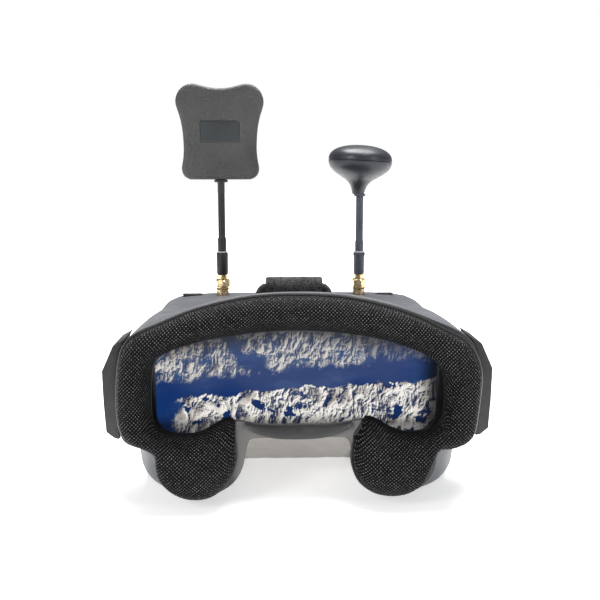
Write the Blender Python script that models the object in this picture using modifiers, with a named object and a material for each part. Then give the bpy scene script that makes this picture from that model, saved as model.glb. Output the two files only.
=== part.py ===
"""Box-type FPV goggles: a shroud with a foam face pad, a pull-off display module and two screw-on antennas.

+Z is up and +Y points forward, away from the wearer's face. The origin is on the floor, under the
middle of the whole object's bounding box. Lengths below are in millimetres, and the helpers turn
them into metres. Y is measured from the middle of the body, and the last lines shift everything by
CENTRE_Y, because the round antenna reaches further forward than the body does.
"""

import math

import bmesh
import bpy
from mathutils import Vector

MM = 0.001
GAP = 0.3  # between pieces that touch
WALL = 2.2  # the casings' walls

# Driving dimensions
FACE_Y = -75.0  # the pad's nearest points
FRONT_Y = 75.0  # the module's front face
CENTRE_Y = 2.85  # the middle of the bounding box
SPLIT_Y = 34.0  # where the module parts from the shroud
SEAM_Y = 53.0  # between the module's rear and front cases
NOSE_END_Y = -7.0  # where the nose channel's ceiling comes down to the floor
CROWN_Y = (-41.0, -9.0)  # the top falls from the brow's arch to the box's top between these
SHOULDER = (0, 0, 0, 0.15, 0.6, 1, 1, 1)  # how far each station up there has the shoulder's slower fall
TOP_Z = 75.5  # the box's flat top
BOX_HALF = 78.0
PLATE = 2.4  # the face plate's thickness
PAD = 15.0  # the face pad's thickness, with its tape
TAPE = 0.8  # the hook-and-loop tape behind the pad
LUG_HALF = 88.5  # half the width over the strap lugs

# The wire bridge that the top strap hangs on
BRIDGE_Y = 30.0
BRIDGE_Z = 85.4
BRIDGE_R = 2.4
LOOP_DROP = 0.8  # the strap loop's middle lies this far below the bridge's bar

# Antennas
PANEL_X = -41.1  # the jacks' places
MUSHROOM_X = 39.3
JACK_Y = 63.0
PANEL_Z = 142.6  # the panel antenna's lower edge
PANEL_DEEP = 9.6
CAP_TILT = math.radians(3.0)
CAP_SEAM_Z = 153.4
CAP_R = 18.3
PIVOT_Z = 84.6  # an antenna leaves its nut here
NUT_Z = (78.8, 84.5)
NUT_R = 4.6
NUT_BORE = 3.35

# Controls on the module
KEY_Y = 62.0
KEY_Z = (18.0, 28.0, 38.0, 48.0, 58.0)
KEY_NAMES = ("button_channel", "button_band", "button_search", "button_menu", "button_record")
POST_X = 66.5
POST_Z = (9.5, 64.0)

# The face's outline on its right half, from the brow's top down to the nose, as (x, z). Each station
# has a point on the plate's outer edge, one on the opening's edge and one on the box's own section.
OUTER = (
    (0, 93.2), (16, 92.7), (31, 90.8), (46.5, 87.1), (60, 82.3), (70, 78.4), (76.3, 74.4), (79.6, 68.5),
    (81.3, 57), (81.3, 45), (80.4, 34), (78.4, 28.7), (73.5, 26), (66.5, 24), (62.8, 20.5), (61.8, 14.2),
    (58.4, 8), (52.4, 3.9), (44, 2.6), (36.4, 4), (29.8, 8), (26, 13.8), (24.3, 20.5), (22.5, 26.3),
    (17, 26.2), (9, 24.9), (0, 24.4),
)
OPENING = (
    (0, 77), (14, 76.6), (27, 75.5), (38, 74), (48, 71.8), (56, 69), (61, 65.5), (63.6, 60.5),
    (64.6, 53), (64.8, 46), (64.5, 40), (63, 36.2), (60, 34.2), (56.5, 33), (53.5, 32.4), (50.5, 32.2),
    (47, 32.5), (43.5, 33.4), (40, 35), (36.8, 36.8), (34, 38), (31.6, 38.4), (29.8, 37.6), (26, 36),
    (19, 33.4), (10, 31.2), (0, 30.4),
)
BOX = (
    (0, 75.5), (16, 75.5), (32, 75.5), (48, 75.4), (60, 74.8), (68, 73.7), (73.5, 71.3), (76.8, 67),
    (78, 59), (78, 48), (78, 38), (78, 30), (78, 24), (78, 19), (77.9, 14), (77, 9),
    (74.5, 4), (70.5, 0.9), (64, 0), (54, 0), (45, 0), (38, 0), (32, 0), (26.3, 0),
    (20, 0), (10, 0), (0, 0),
)
# The foam stops short of the nose, and sits inside the plate's edge on the cheeks.
PAD_END = ((44.5, 4.6), (37.4, 5.8), (31.4, 9.8), (28.4, 15), (27.6, 21.3), (28.4, 28.5))
PAD_OPENING_END = (28.8, 35.6)
# Across the pad, from its outer edge to its inner edge: share of the way across, share of its thickness.
PAD_SECTION = ((0, 0.42), (0.09, 0.78), (0.3, 0.98), (0.55, 1), (0.8, 0.84), (0.97, 0.45))


# ---------------------------------------------------------------- helpers


def smooth(edge0, edge1, x):
    """0 before edge0, 1 after edge1, and a smooth step between them."""
    t = min(1.0, max(0.0, (x - edge0) / (edge1 - edge0)))
    return t * t * (3 - 2 * t)


def between(a, b, t):
    return tuple(p + (q - p) * t for p, q in zip(a, b))


def both_sides(half, closed=False):
    """A right half that starts on the centre line, made whole, from its left end to its right end."""
    left = [(-p[0],) + tuple(p[1:]) for p in half[1:]]
    if closed:
        left = left[:-1]
    return left[::-1] + list(half)


def spline(points, steps):
    """Points on a Catmull-Rom curve through the given ones."""
    pts = [Vector(p) for p in points]
    ring = [2 * pts[0] - pts[1]] + pts + [2 * pts[-1] - pts[-2]]
    out = []
    for i in range(len(pts) - 1):
        a, b, c, d = ring[i : i + 4]
        square = 2 * a - 5 * b + 4 * c - d
        cube = 3 * b - a - 3 * c + d
        for k in range(steps):
            t = k / steps
            out.append((2 * b + (c - a) * t + square * t**2 + cube * t**3) / 2)
    return out + [pts[-1]]


def finish(obj, colour, roughness, metallic=0.0):
    """Gives the object its own Principled material."""
    mat = bpy.data.materials.new(obj.name + "_finish")
    mat.use_nodes = True
    shader = mat.node_tree.nodes["Principled BSDF"]
    shader.inputs["Base Color"].default_value = (*colour, 1)
    shader.inputs["Roughness"].default_value = roughness
    shader.inputs["Metallic"].default_value = metallic
    obj.data.materials.clear()
    obj.data.materials.append(mat)
    return obj


CASE = ((0.16, 0.165, 0.18), 0.5)
DARK = ((0.03, 0.03, 0.033), 0.55)
GLOSS = ((0.02, 0.025, 0.04), 0.15)
FOAM = ((0.02, 0.02, 0.022), 0.95)
FABRIC = ((0.03, 0.03, 0.032), 0.9)
GOLD = ((0.83, 0.62, 0.25), 0.25, 1.0)
BRASS = ((0.7, 0.55, 0.25), 0.35, 1.0)
STEEL = ((0.6, 0.6, 0.62), 0.35, 1.0)
BOARD = ((0.02, 0.09, 0.05), 0.5)
LENS = ((0.75, 0.8, 0.85), 0.08)
CELL = ((0.05, 0.12, 0.3), 0.4)


def new_object(name, mesh, look, at=(0, 0, 0), parent=None):
    obj = bpy.data.objects.new(name, mesh)
    parts.objects.link(obj)
    obj.location = Vector(at) * MM
    obj.parent = parent
    if look:
        finish(obj, *look)
    return obj


def from_bmesh(name, bm, look, at=(0, 0, 0), parent=None):
    mesh = bpy.data.meshes.new(name)
    bmesh.ops.recalc_face_normals(bm, faces=bm.faces)
    bm.to_mesh(mesh)
    bm.free()
    return new_object(name, mesh, look, at, parent)


def bevel(obj, width, segments=1, angle=40):
    mod = obj.modifiers.new("soft_edges", "BEVEL")
    mod.width = width * MM
    mod.segments = segments
    mod.limit_method = "ANGLE"
    mod.angle_limit = math.radians(angle)
    return obj


def block(name, low, high, look, edge=0.0, parent=None):
    """A box between two corners."""
    size = Vector(high) - Vector(low)
    bm = bmesh.new()
    bmesh.ops.create_cube(bm, size=1)
    bmesh.ops.scale(bm, vec=size * MM, verts=bm.verts)
    obj = from_bmesh(name, bm, look, (Vector(high) + Vector(low)) / 2, parent)
    if edge:
        bevel(obj, edge)
    return obj


def rod(name, start, end, radius, look, sides=16, parent=None):
    """A cylinder from one point to another."""
    a, b = Vector(start), Vector(end)
    bm = bmesh.new()
    turn = Vector((0, 0, 1)).rotation_difference(b - a).to_matrix().to_4x4()
    bmesh.ops.create_cone(
        bm, cap_ends=True, segments=sides, radius1=radius * MM, radius2=radius * MM,
        depth=(b - a).length * MM, matrix=turn,
    )
    obj = from_bmesh(name, bm, look, (a + b) / 2, parent)
    obj.data.shade_smooth()
    obj.data.set_sharp_from_angle(angle=math.radians(40))
    return obj


def turned(name, profile, look, at=(0, 0, 0), steps=12, parent=None, closed=False):
    """A turned shape about Z: a profile of (radius, height) that runs down its outer side."""
    mesh = bpy.data.meshes.new(name)
    edges = [(i, i + 1) for i in range(len(profile) - 1)]
    if closed:
        edges.append((len(profile) - 1, 0))
    mesh.from_pydata([(r * MM, 0, z * MM) for r, z in profile], edges, [])
    obj = new_object(name, mesh, None, at, parent)
    mod = obj.modifiers.new("turn", "SCREW")
    mod.steps = mod.render_steps = steps
    mod.use_merge_vertices = True
    mod.merge_threshold = 0.00001
    mod.use_smooth_shade = True
    return finish(obj, *look)


def loft(name, rings, look, capped=False, hoop=False):
    """Faces between closed rings of as many points each. A hoop joins its last ring to its first."""
    bm = bmesh.new()
    rows = [[bm.verts.new(Vector(p) * MM) for p in ring] for ring in rings]
    following = rows[1:] + rows[:1] if hoop else rows[1:]
    count = len(rows[0])
    for a, b in zip(rows, following):
        for j in range(count):
            k = (j + 1) % count
            bm.faces.new((a[j], a[k], b[k], b[j]))
    if capped:
        bm.faces.new(rows[0])
        bm.faces.new(rows[-1])
    return from_bmesh(name, bm, look)


def as_mesh(curve_object):
    """A curve object turned into a mesh object of the same name, with its caps welded."""
    name = curve_object.name
    bpy.context.view_layer.update()
    ready = curve_object.evaluated_get(bpy.context.evaluated_depsgraph_get())
    mesh = bpy.data.meshes.new_from_object(ready)
    bm = bmesh.new()
    bm.from_mesh(mesh)
    bmesh.ops.remove_doubles(bm, verts=bm.verts, dist=0.000001)
    bmesh.ops.recalc_face_normals(bm, faces=bm.faces)
    bm.to_mesh(mesh)
    bm.free()
    place = curve_object.matrix_world.copy()
    owner = curve_object.parent
    bpy.data.objects.remove(curve_object)
    obj = bpy.data.objects.new(name, mesh)
    parts.objects.link(obj)
    obj.parent = owner
    obj.matrix_world = place
    return obj


def corners_only(outline):
    """The outline without the points that lie on a straight run, which a curve's fill would skip."""
    kept = []
    for k, here in enumerate(outline):
        a, b = Vector(outline[k - 1]), Vector(outline[(k + 1) % len(outline)])
        run = b - a
        off = abs(run.cross(Vector(here) - a)) / run.length
        if off > 0.01:
            kept.append(here)
    return kept


def outline_plate(name, outline, y_low, y_high, look, parent=None):
    """A flat outline in X and Z, given thickness along Y."""
    outline = corners_only(outline)
    curve = bpy.data.curves.new(name, "CURVE")
    curve.dimensions = "2D"
    curve.fill_mode = "BOTH"
    curve.extrude = (y_high - y_low) / 2 * MM
    line = curve.splines.new("POLY")
    line.points.add(len(outline) - 1)
    line.use_cyclic_u = True
    for point, (x, z) in zip(line.points, outline):
        point.co = (x * MM, z * MM, 0, 1)
    obj = new_object(name, curve, None, (0, (y_low + y_high) / 2, 0), parent)
    obj.rotation_euler = (math.radians(90), 0, 0)
    plate = as_mesh(obj)
    return finish(plate, *look) if look else plate


def wire(name, points, radius, look, parent=None):
    """A tube with closed ends through the given points."""
    curve = bpy.data.curves.new(name, "CURVE")
    curve.dimensions = "3D"
    curve.bevel_depth = radius * MM
    curve.bevel_resolution = 2
    curve.use_fill_caps = True
    line = curve.splines.new("POLY")
    line.points.add(len(points) - 1)
    for point, p in zip(line.points, points):
        point.co = (*(Vector(p) * MM), 1)
    obj = new_object(name, curve, None, (0, 0, 0), parent)
    return finish(as_mesh(obj), *look)


def boolean(obj, other, operation="DIFFERENCE"):
    """Cuts, or joins, with another object, which moves to the cutters and isn't part of the model."""
    parts.objects.unlink(other)
    cutters.objects.link(other)
    other.hide_render = True
    other.display_type = "WIRE"
    mod = obj.modifiers.new(operation.lower(), "BOOLEAN")
    mod.object = other
    mod.operation = operation
    mod.solver = "EXACT"
    return obj


def cut_block(obj, label, low, high):
    return boolean(obj, block(f"cut_{obj.name}_{label}", low, high, None))


def cut_rod(obj, label, start, end, radius, sides=16):
    return boolean(obj, rod(f"cut_{obj.name}_{label}", start, end, radius, None, sides))


def empty(name, at, turn=(0, 0, 0)):
    obj = bpy.data.objects.new(name, None)
    parts.objects.link(obj)
    obj.location = Vector(at) * MM
    obj.rotation_euler = turn
    return obj


# ---------------------------------------------------------------- shroud


def face_y(x, z):
    """Where the face plate's near side lies: it wraps round the brow and steps back at the nose."""
    brow = (16 - 13 * (x / BOX_HALF) ** 2) * smooth(10, 75, z)
    nose = 15 * math.exp(-((x / 22) ** 2)) * (1 - smooth(30, 50, z))
    return FACE_Y + 14 + brow + nose


def on_face(point, lift):
    """A point of the face plate's near side, moved back towards the wearer by lift."""
    x, z = point
    return (x, face_y(x, z) - lift, z)


def blend_at(station, y, start):
    """How far a station's section has gone from the face's outline to the box's."""
    if station <= 7:
        crown = smooth(*CROWN_Y, y)
        shoulder = ((y - start) / (SPLIT_Y - start)) ** 2
        return crown + (shoulder - crown) * SHOULDER[station]
    if station <= 11:
        return 1 - math.exp(-(y - start) / 40)
    if station <= 18:
        return 1 - math.exp(-(y - start) / 12)
    return min(1.0, (y - start) / (NOSE_END_Y - start))


def shroud_ring(t):
    """One ring of the shroud's outer surface, at share t of the way from the face plate to the split."""
    half = []
    for station, (face, box) in enumerate(zip(OUTER, BOX)):
        start = face_y(*face) + PLATE + 0.9
        y = start + (SPLIT_Y - GAP - start) * t
        x, z = between(face, box, blend_at(station, y, start))
        half.append((x, y, z))
    return both_sides(half, closed=True)


def make_shroud():
    shares = (0, 0.12, 0.25, 0.38, 0.54, 0.74, 1)
    shell = loft("shroud_shell", [shroud_ring(t) for t in shares], CASE)
    solid = shell.modifiers.new("wall", "SOLIDIFY")
    solid.thickness = WALL * MM
    solid.offset = -1
    return shell


def make_face_plate():
    """An arched ring of plate between the outer edge and the opening."""
    outer = both_sides(OUTER, closed=True)
    inner = both_sides(OPENING, closed=True)
    rings = []
    for share, lift in ((0, 0), (0.5, 0), (0.9, 0), (0.9, -PLATE), (0.5, -PLATE), (0, -PLATE)):
        rings.append([on_face(between(o, i, share), lift) for o, i in zip(outer, inner)])
    return loft("face_plate", rings, DARK, hoop=True)


def make_face_pad():
    """One C-shaped strip of foam round the brow, the temples and the cheeks."""
    first = 18
    outer_half = list(OUTER[:first]) + list(PAD_END)
    inner_half = list(OPENING[: len(outer_half) - 1]) + [PAD_OPENING_END]
    outer = both_sides(outer_half)
    inner = both_sides(inner_half)
    sections = []
    for o, i in zip(outer, inner):
        section = [on_face(between(o, i, share), TAPE) for share in (1, 0.5, 0)]
        for share, lift in PAD_SECTION:
            section.append(on_face(between(o, i, share), PAD * lift))
        sections.append(section)
    return loft("face_pad", sections, FOAM, capped=True)


def make_nose_flap():
    """A soft curved lip under the opening, in front of the face plate's nose bar."""
    top = both_sides([(0, 29.6), (10, 30.4), (19, 32.6), (24, 34.4)])
    low = both_sides([(0, 24.2), (9, 25.2), (17, 27.8), (22.8, 31.4)])
    sections = []
    for a, b in zip(top, low):
        rim = ((a, 0.9), (a, 2), (between(a, b, 0.5), 3), (b, 2), (b, 0.9))
        sections.append([on_face(point, lift) for point, lift in rim])
    return loft("nose_flap", sections, DARK, capped=True)


def make_lug(side):
    """A faceted strap lug. The strap goes in at the side and out at the rear, round an upright bar."""
    name = "strap_lug_right" if side > 0 else "strap_lug_left"
    outline = [(78, 74.1), (83.2, 71.2), (LUG_HALF, 59.5), (88.3, 45), (87.6, 31.2), (84, 28.2), (81.7, 27.6)]
    outline += [(81.7, 60), (80.3, 69)]
    outline = [(side * x, z) for x, z in outline]
    lug = outline_plate(name, outline, -54, -30, DARK)
    low, high = sorted((side * 81, side * 85.4))
    cut_block(lug, "pocket", (low, -45, 35), (high, -28, 57))
    low, high = sorted((side * 84, side * 90))
    cut_block(lug, "window", (low, -45, 35), (high, -38.6, 57))
    return lug


def make_strap_bridge():
    half = [(0, 0), (10, -0.1), (16.4, -1), (19.6, -4), (20.4, TOP_Z + 0.5 - BRIDGE_Z)]
    path = spline(both_sides([(x, BRIDGE_Y, BRIDGE_Z + z) for x, z in half]), 2)
    return wire("strap_bridge", path, BRIDGE_R, DARK)


def make_strap_loop():
    """A flattened loop of webbing that hangs on the bridge, and swings about its bar."""
    half_long, half_high, half_deep, thick = 15.8, 3.9, 3.6, 1.7
    steps = 20
    rings = []
    for x, grow in ((-half_long, 0), (half_long, 0), (half_long, thick), (-half_long, thick)):
        ring = []
        for k in range(steps):
            a = 2 * math.pi * k / steps
            ring.append((x, (half_deep + grow) * math.cos(a), (half_high + grow) * math.sin(a) - LOOP_DROP))
        rings.append(ring)
    loop = loft("top_strap_loop", rings, FABRIC, hoop=True)
    loop.location = Vector((0, BRIDGE_Y, BRIDGE_Z)) * MM
    return loop


def round_box(half_x, z_low, z_high, radius, steps=4):
    """The outline of a box with round corners, centred on X."""
    points = []
    corners = (
        (half_x - radius, z_high - radius, 0),
        (radius - half_x, z_high - radius, 90),
        (radius - half_x, z_low + radius, 180),
        (half_x - radius, z_low + radius, 270),
    )
    for cx, cz, begin in corners:
        for k in range(steps + 1):
            a = math.radians(begin + 90 * k / steps)
            points.append((cx + radius * math.cos(a), cz + radius * math.sin(a)))
    return points


def make_lens():
    frame = outline_plate("lens_frame", round_box(72.6, 17.8, 74.2, 14), -27, -20.5, DARK)
    boolean(frame, outline_plate("cut_lens_window", round_box(68.8, 20.6, 71.4, 10), -28, -19.5, None))
    boolean(frame, outline_plate("cut_lens_seat", round_box(70.4, 19.6, 72.6, 11.6), -25, -22.4, None))
    outline_plate("fresnel_lens", round_box(70.1, 19.9, 72.3, 11.3), -24.7, -22.7, LENS)


# ---------------------------------------------------------------- module


def box_ring(y, wide=1.0, high=1.0, inset=0.0):
    """One ring of the module's section at y, drawn in towards its middle."""
    section = [p for k, p in enumerate(BOX) if k not in (20, 21, 23, 24, 25)]
    middle = TOP_Z / 2
    shrink_x = wide * (1 - inset / BOX_HALF)
    shrink_z = high * (1 - inset / middle)
    whole = both_sides(section, closed=True)
    return [(x * shrink_x, y, middle + (z - middle) * shrink_z) for x, z in whole]


def hollow_case(name, rings, closed_y):
    """A case with walls, open at one end and closed at closed_y."""
    case = loft(name, rings, CASE)
    bm = bmesh.new()
    bm.from_mesh(case.data)
    rim = [e for e in bm.edges if e.is_boundary and all(abs(v.co.y / MM - closed_y) < 0.1 for v in e.verts)]
    bmesh.ops.contextual_create(bm, geom=rim)
    bmesh.ops.recalc_face_normals(bm, faces=bm.faces)
    bm.to_mesh(case.data)
    bm.free()
    solid = case.modifiers.new("wall", "SOLIDIFY")
    solid.thickness = WALL * MM
    solid.offset = -1
    return case


def make_module_cases():
    rear = hollow_case("module_rear_case", [box_ring(SPLIT_Y), box_ring(SEAM_Y - GAP)], SPLIT_Y)
    for x in (-POST_X, POST_X):
        for z in POST_Z:
            label = f"post_{'right' if x > 0 else 'left'}_{'top' if z > TOP_Z / 2 else 'low'}"
            post = rod(label, (x, SPLIT_Y + 1, z), (x, FRONT_Y - WALL - 1.2, z), 2.9, None, 12)
            boolean(rear, post, "UNION")
            cut_rod(rear, label, (x, SEAM_Y, z), (x, FRONT_Y, z), 1.5, 10)
    cut_block(rear, "window", (-54.6, SPLIT_Y - 2, 5.2), (54.6, SPLIT_Y + 4, 70.2))

    rings = [box_ring(SEAM_Y)]
    for back, wide, high in ((8, 0.992, 1), (3, 0.972, 0.99), (0.7, 0.945, 0.972), (0, 0.925, 0.955)):
        rings.append(box_ring(FRONT_Y - back, wide, high))
    return hollow_case("module_front_case", rings, FRONT_Y)


def make_light_seal():
    """A foam ring on the module that enters the shroud's mouth."""
    near, far = SPLIT_Y - 3.4, SPLIT_Y - GAP
    corners = ((near, 3), (far, 3), (far, 5), (near, 5))
    rings = [box_ring(y, inset=inset) for y, inset in corners]
    return loft("light_seal", rings, DARK, hoop=True)


def make_screws(front):
    for x in (-POST_X, POST_X):
        for z in POST_Z:
            label = f"{'right' if x > 0 else 'left'}_{'top' if z > TOP_Z / 2 else 'low'}"
            cut_rod(front, "screw_" + label, (x, FRONT_Y - 4, z), (x, FRONT_Y + 2, z), 1.4, 10)
            cut_rod(front, "head_" + label, (x, FRONT_Y - 1.6, z), (x, FRONT_Y + 2, z), 2.8, 12)
            profile = [(0, 0), (2.3, -0.1), (2.4, -1.1), (1.1, -1.2), (1.1, -14), (0, -14.6)]
            screw = turned("case_screw_" + label, profile, STEEL, (x, FRONT_Y - 0.1, z), 10)
            screw.rotation_euler = (math.radians(-90), 0, 0)


def make_electronics():
    block("display_panel", (-59.5, 36.6, 3.6), (59.5, 38, 71.8), GLOSS)
    block("backlight_unit", (-59.5, 38.3, 3.6), (59.5, 41.2, 71.8), STEEL)
    block("main_board", (-61.5, 45, 6.5), (61.5, 46.6, 69), BOARD)
    for side, jack_x, label in ((-1, PANEL_X, "left"), (1, MUSHROOM_X, "right")):
        low, high = sorted((side * 18, side * 46))
        block("receiver_can_" + label, (low, 46.9, 44.6), (high, 51, 67), STEEL, 0.5)
        path = [(34, 49, 67.6), (34, 49.5, 69.4), (35.2, 53, 70.2), (37.4, 58, 69)]
        path = [(side * x, y, z) for x, y, z in path] + [(jack_x, 62.6, 68.2)]
        wire("pigtail_" + label, spline(path, 2), 0.8, DARK)
    block("battery", (-31, 46.9, 10), (31, 56, 43), CELL, 0.8)
    rod("buzzer", (50, 46.9, 22), (50, 52.4, 22), 6, DARK, 20)
    block("key_board", (69.8, 56, 13), (71, 68, 63), BOARD)


def make_jacks(front):
    """Threaded jacks through the top, with the ring that holds them."""
    thread = [(0, 84), (3, 84), (3.1, 78.6), (3.65, 78.5), (3.65, 75.8), (3.1, 75.7), (3.1, 72.6)]
    below = [(4.3, 72.5), (4.3, 70.6), (2.2, 70.4), (2.2, 69.4), (0, 69.4)]
    for x, label in ((PANEL_X, "left"), (MUSHROOM_X, "right")):
        turned("antenna_jack_" + label, thread + below, GOLD, (x, JACK_Y, 0))
        cut_rod(front, "jack_" + label, (x, JACK_Y, 65), (x, JACK_Y, 80), 3.5, 12)


def make_controls(front):
    for name, z in zip(KEY_NAMES, KEY_Z):
        cut_rod(front, name, (71, KEY_Y, z), (82, KEY_Y, z), 3.3, 12)
        profile = [(0, 1.6), (2.3, 1.5), (3, 0.8), (3, -3.2), (4, -3.3), (4, -4.4), (0, -5.4)]
        key = turned(name, profile, DARK, (BOX_HALF - 0.3, KEY_Y, z))
        key.rotation_euler = (0, math.radians(90), 0)

    cut_block(front, "switch_slot", (-64.4, 62.6, 60), (-53.8, 66.6, 80))
    block("switch_body", (-63.2, 61.4, 62.2), (-54.2, 67.8, 66.6), STEEL, 0.4)
    block("switch_slider", (-63.9, 62.9, 66.9), (-60.3, 66.3, 74.6), DARK, 0.4)

    cut_block(front, "usb_slot", (50.2, 62.6, 60), (59.2, 66.4, 80))
    usb = block("usb_port", (50.5, 62.9, 62), (58.9, 66.1, 73.4), STEEL)
    cut_block(usb, "mouth", (51, 63.4, 65), (58.4, 65.6, 75))

    cut_rod(front, "earphone", (26, 64, 60), (26, 64, 80), 3, 12)
    profile = [(0, 66), (1.8, 66), (1.8, 75.4), (2.7, 75.4), (2.7, 64), (0, 64)]
    turned("earphone_jack", profile, DARK, (26, 64, 0))


def make_side_ports(front):
    """Sockets on the left side: card above, then video, then power."""
    cut_block(front, "card_slot", (-82, 55.2, 51.2), (-71, 68.8, 54.6))
    socket = block("card_socket", (-74, 55, 50), (-57, 69, 56), STEEL)
    cut_block(socket, "slot", (-76, 56.2, 51.4), (-58.4, 67.8, 54.4))
    block("memory_card", (-78.9, 56.5, 52.4), (-63.9, 67.5, 53.4), DARK)

    cut_rod(front, "video", (-82, 62, 36), (-71, 62, 36), 3.4, 12)
    profile = [(0, 5), (1.8, 5), (1.8, 14), (3.1, 14), (3.1, 0), (0, 0)]
    turned("video_jack", profile, DARK, (-64, 62, 36)).rotation_euler = (0, math.radians(-90), 0)

    cut_rod(front, "power", (-82, 62, 20), (-71, 62, 20), 4.6)
    profile = [(0, 12), (1, 12), (1, 3), (3.1, 3), (3.1, 14), (4.3, 14), (4.3, 0), (0, 0)]
    turned("power_jack", profile, DARK, (-64, 62, 20), 16).rotation_euler = (0, math.radians(-90), 0)


def make_tripod_insert(front):
    cut_rod(front, "tripod", (0, 64, -2), (0, 64, 5), 4.9)
    profile = [(3.2, 8.3), (4.6, 8.3), (4.6, 0.3), (3.2, 0.3)]
    turned("tripod_insert", profile, BRASS, (0, 64, 0), 16, closed=True)


# ---------------------------------------------------------------- antennas


def make_nut(name, x):
    """A hexagon nut with a bore through it, screwed onto a jack."""
    nut = rod(name, (x, JACK_Y, NUT_Z[0]), (x, JACK_Y, NUT_Z[1]), NUT_R, GOLD, 6)
    bevel(nut, 0.5, 1, 30)
    cut_rod(nut, "bore", (x, JACK_Y, NUT_Z[0] - 2), (x, JACK_Y, NUT_Z[1] + 2), NUT_BORE, 12)
    return nut


def panel_outline(inset=0.0):
    """The panel's outline about its stem: two lobes above, a waist, and a flat lower edge."""
    half = [
        (0, 50.9), (5.8, 51.4), (10.2, 52.4), (14.9, 53.4), (19, 52.6), (22.4, 50), (24.4, 46.4), (24.8, 43),
        (24.1, 39.8), (22.5, 34.6), (21.2, 27.4), (20.7, 18), (21.1, 12), (22, 6.1), (20.9, 2.4), (18, 0.3),
        (14.5, 0), (0, -0.1),
    ]
    middle = Vector((0, 27))
    out = []
    for p in both_sides(half, closed=True):
        away = Vector(p) - middle
        out.append(tuple(middle + away * (1 - inset / away.length)))
    return out


def make_panel_antenna():
    hub = empty("panel_antenna_hub", (PANEL_X, JACK_Y, PIVOT_Z))
    lift = PANEL_Z - PIVOT_Z
    half = PANEL_DEEP / 2
    for name, near, far, skin_side in (
        ("panel_rear_cover", -half, -GAP / 2, -1),
        ("panel_front_cover", GAP / 2, half, 1),
    ):
        outline = [(x, z + lift) for x, z in panel_outline()]
        shell = outline_plate(name, outline, near, far, DARK, hub)
        hollow = [(x, z + lift) for x, z in panel_outline(2)]
        low = near + 1.8 if skin_side < 0 else near - 1
        high = far + 1 if skin_side < 0 else far - 1.8
        cutter = outline_plate("cut_" + name, hollow, low, high, None, hub)
        boolean(shell, cutter)
        if skin_side < 0:
            frame = [(x, z + lift) for x, z in round_box(11.3, 20.8, 33.1, 1.6, 3)]
            boolean(shell, outline_plate("cut_panel_recess", frame, near - 1, near + 0.6, None, hub))
    block("panel_patch_board", (-17, -1, lift + 8), (17, 0.6, lift + 46), BOARD, 0, hub)
    stem = [
        (0, 142.3), (3.9, 142.3), (3.9, 141.2), (2, 141.2), (2, 108.2), (2.5, 108), (2.5, 99.9),
        (3.4, 99.7), (3.4, 87.6), (2.95, 87.3), (2.95, 84.9), (2, 84.8), (2, 84.4), (0, 84.4),
    ]
    turned("panel_antenna_stem", [(r, z - PIVOT_Z) for r, z in stem], DARK, (0, 0, 0), 12, hub)
    make_nut("panel_antenna_nut", PANEL_X)


def make_mushroom_antenna():
    hub = empty("mushroom_cap_hub", (MUSHROOM_X, JACK_Y, CAP_SEAM_Z), (0, CAP_TILT, 0))
    top_rise = 8.8
    steps = 6
    arc = []
    for k in range(steps):
        a = math.radians(90 * k / (steps - 1))
        arc.append((math.sin(a) ** 0.9, math.cos(a) ** 0.85 if k < steps - 1 else 0))
    outer = [(CAP_R * s, 0.15 + (top_rise - 0.15) * c) for s, c in arc]
    inner = [((CAP_R - 1.6) * s, 0.15 + (top_rise - 1.75) * c) for s, c in arc[::-1]]
    outer[0] = (0, outer[0][1])
    inner[-1] = (0, inner[-1][1])
    turned("mushroom_cap_top", outer + inner, GLOSS, (0, 0, 0), 24, hub)
    bowl = [
        (CAP_R, -0.15), (CAP_R - 0.4, -3), (16, -6.4), (12.6, -9.4), (9, -11.6), (6, -13.8), (4.4, -16.2),
        (3.5, -18.2), (0, -18.2),
    ]
    hollow = [(0, -9), (6, -9), (10.8, -7.2), (14, -4.6), (CAP_R - 1.9, -2), (CAP_R - 1.6, -0.15)]
    turned("mushroom_cap_bottom", hollow + bowl, GLOSS, (0, 0, 0), 24, hub)
    element = [(0, 0.4), (11, 0.4), (11, -0.4), (1.2, -0.5), (1.2, -8.6), (0, -8.6)]
    turned("mushroom_element", element, STEEL, (0, 0, 0), 12, hub)
    stem = [
        (0, 134.4), (3.5, 134.4), (3.5, 133), (2, 132.7), (2, 106.6), (2.4, 106.4), (2.4, 100.2),
        (3.5, 100), (3.5, 98.4), (3.1, 98.1), (3.1, 84.9), (2, 84.8), (2, 84.4), (0, 84.4),
    ]
    turned("mushroom_antenna_stem", stem, GLOSS, (MUSHROOM_X, JACK_Y, 0))
    make_nut("mushroom_antenna_nut", MUSHROOM_X)


# ---------------------------------------------------------------- build


for old in list(bpy.data.objects):
    bpy.data.objects.remove(old)
parts = bpy.data.collections.new("fpv_goggles")
cutters = bpy.data.collections.new("cutters")
for group in (parts, cutters):
    bpy.context.scene.collection.children.link(group)

make_shroud()
make_face_plate()
make_face_pad()
make_nose_flap()
for lug_side in (-1, 1):
    make_lug(lug_side)
make_strap_bridge()
make_strap_loop()
make_lens()
front_case = make_module_cases()
make_light_seal()
make_screws(front_case)
make_electronics()
make_jacks(front_case)
make_controls(front_case)
make_side_ports(front_case)
make_tripod_insert(front_case)
make_panel_antenna()
make_mushroom_antenna()

root = empty("goggles_frame", (0, -CENTRE_Y, 0))
for group in (parts, cutters):
    for placed in group.objects:
        if placed.parent is None and placed is not root:
            placed.parent = root
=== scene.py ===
"""Looks for box-type FPV goggles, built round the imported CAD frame.

Tables and lengths are millimetres in the frame's axes, with Y measured from the middle of the body,
as in the CAD source. spot() turns such a point into the frame's metres.
"""

import math

import bmesh
import bpy
from mathutils import Matrix, Vector, noise


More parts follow.
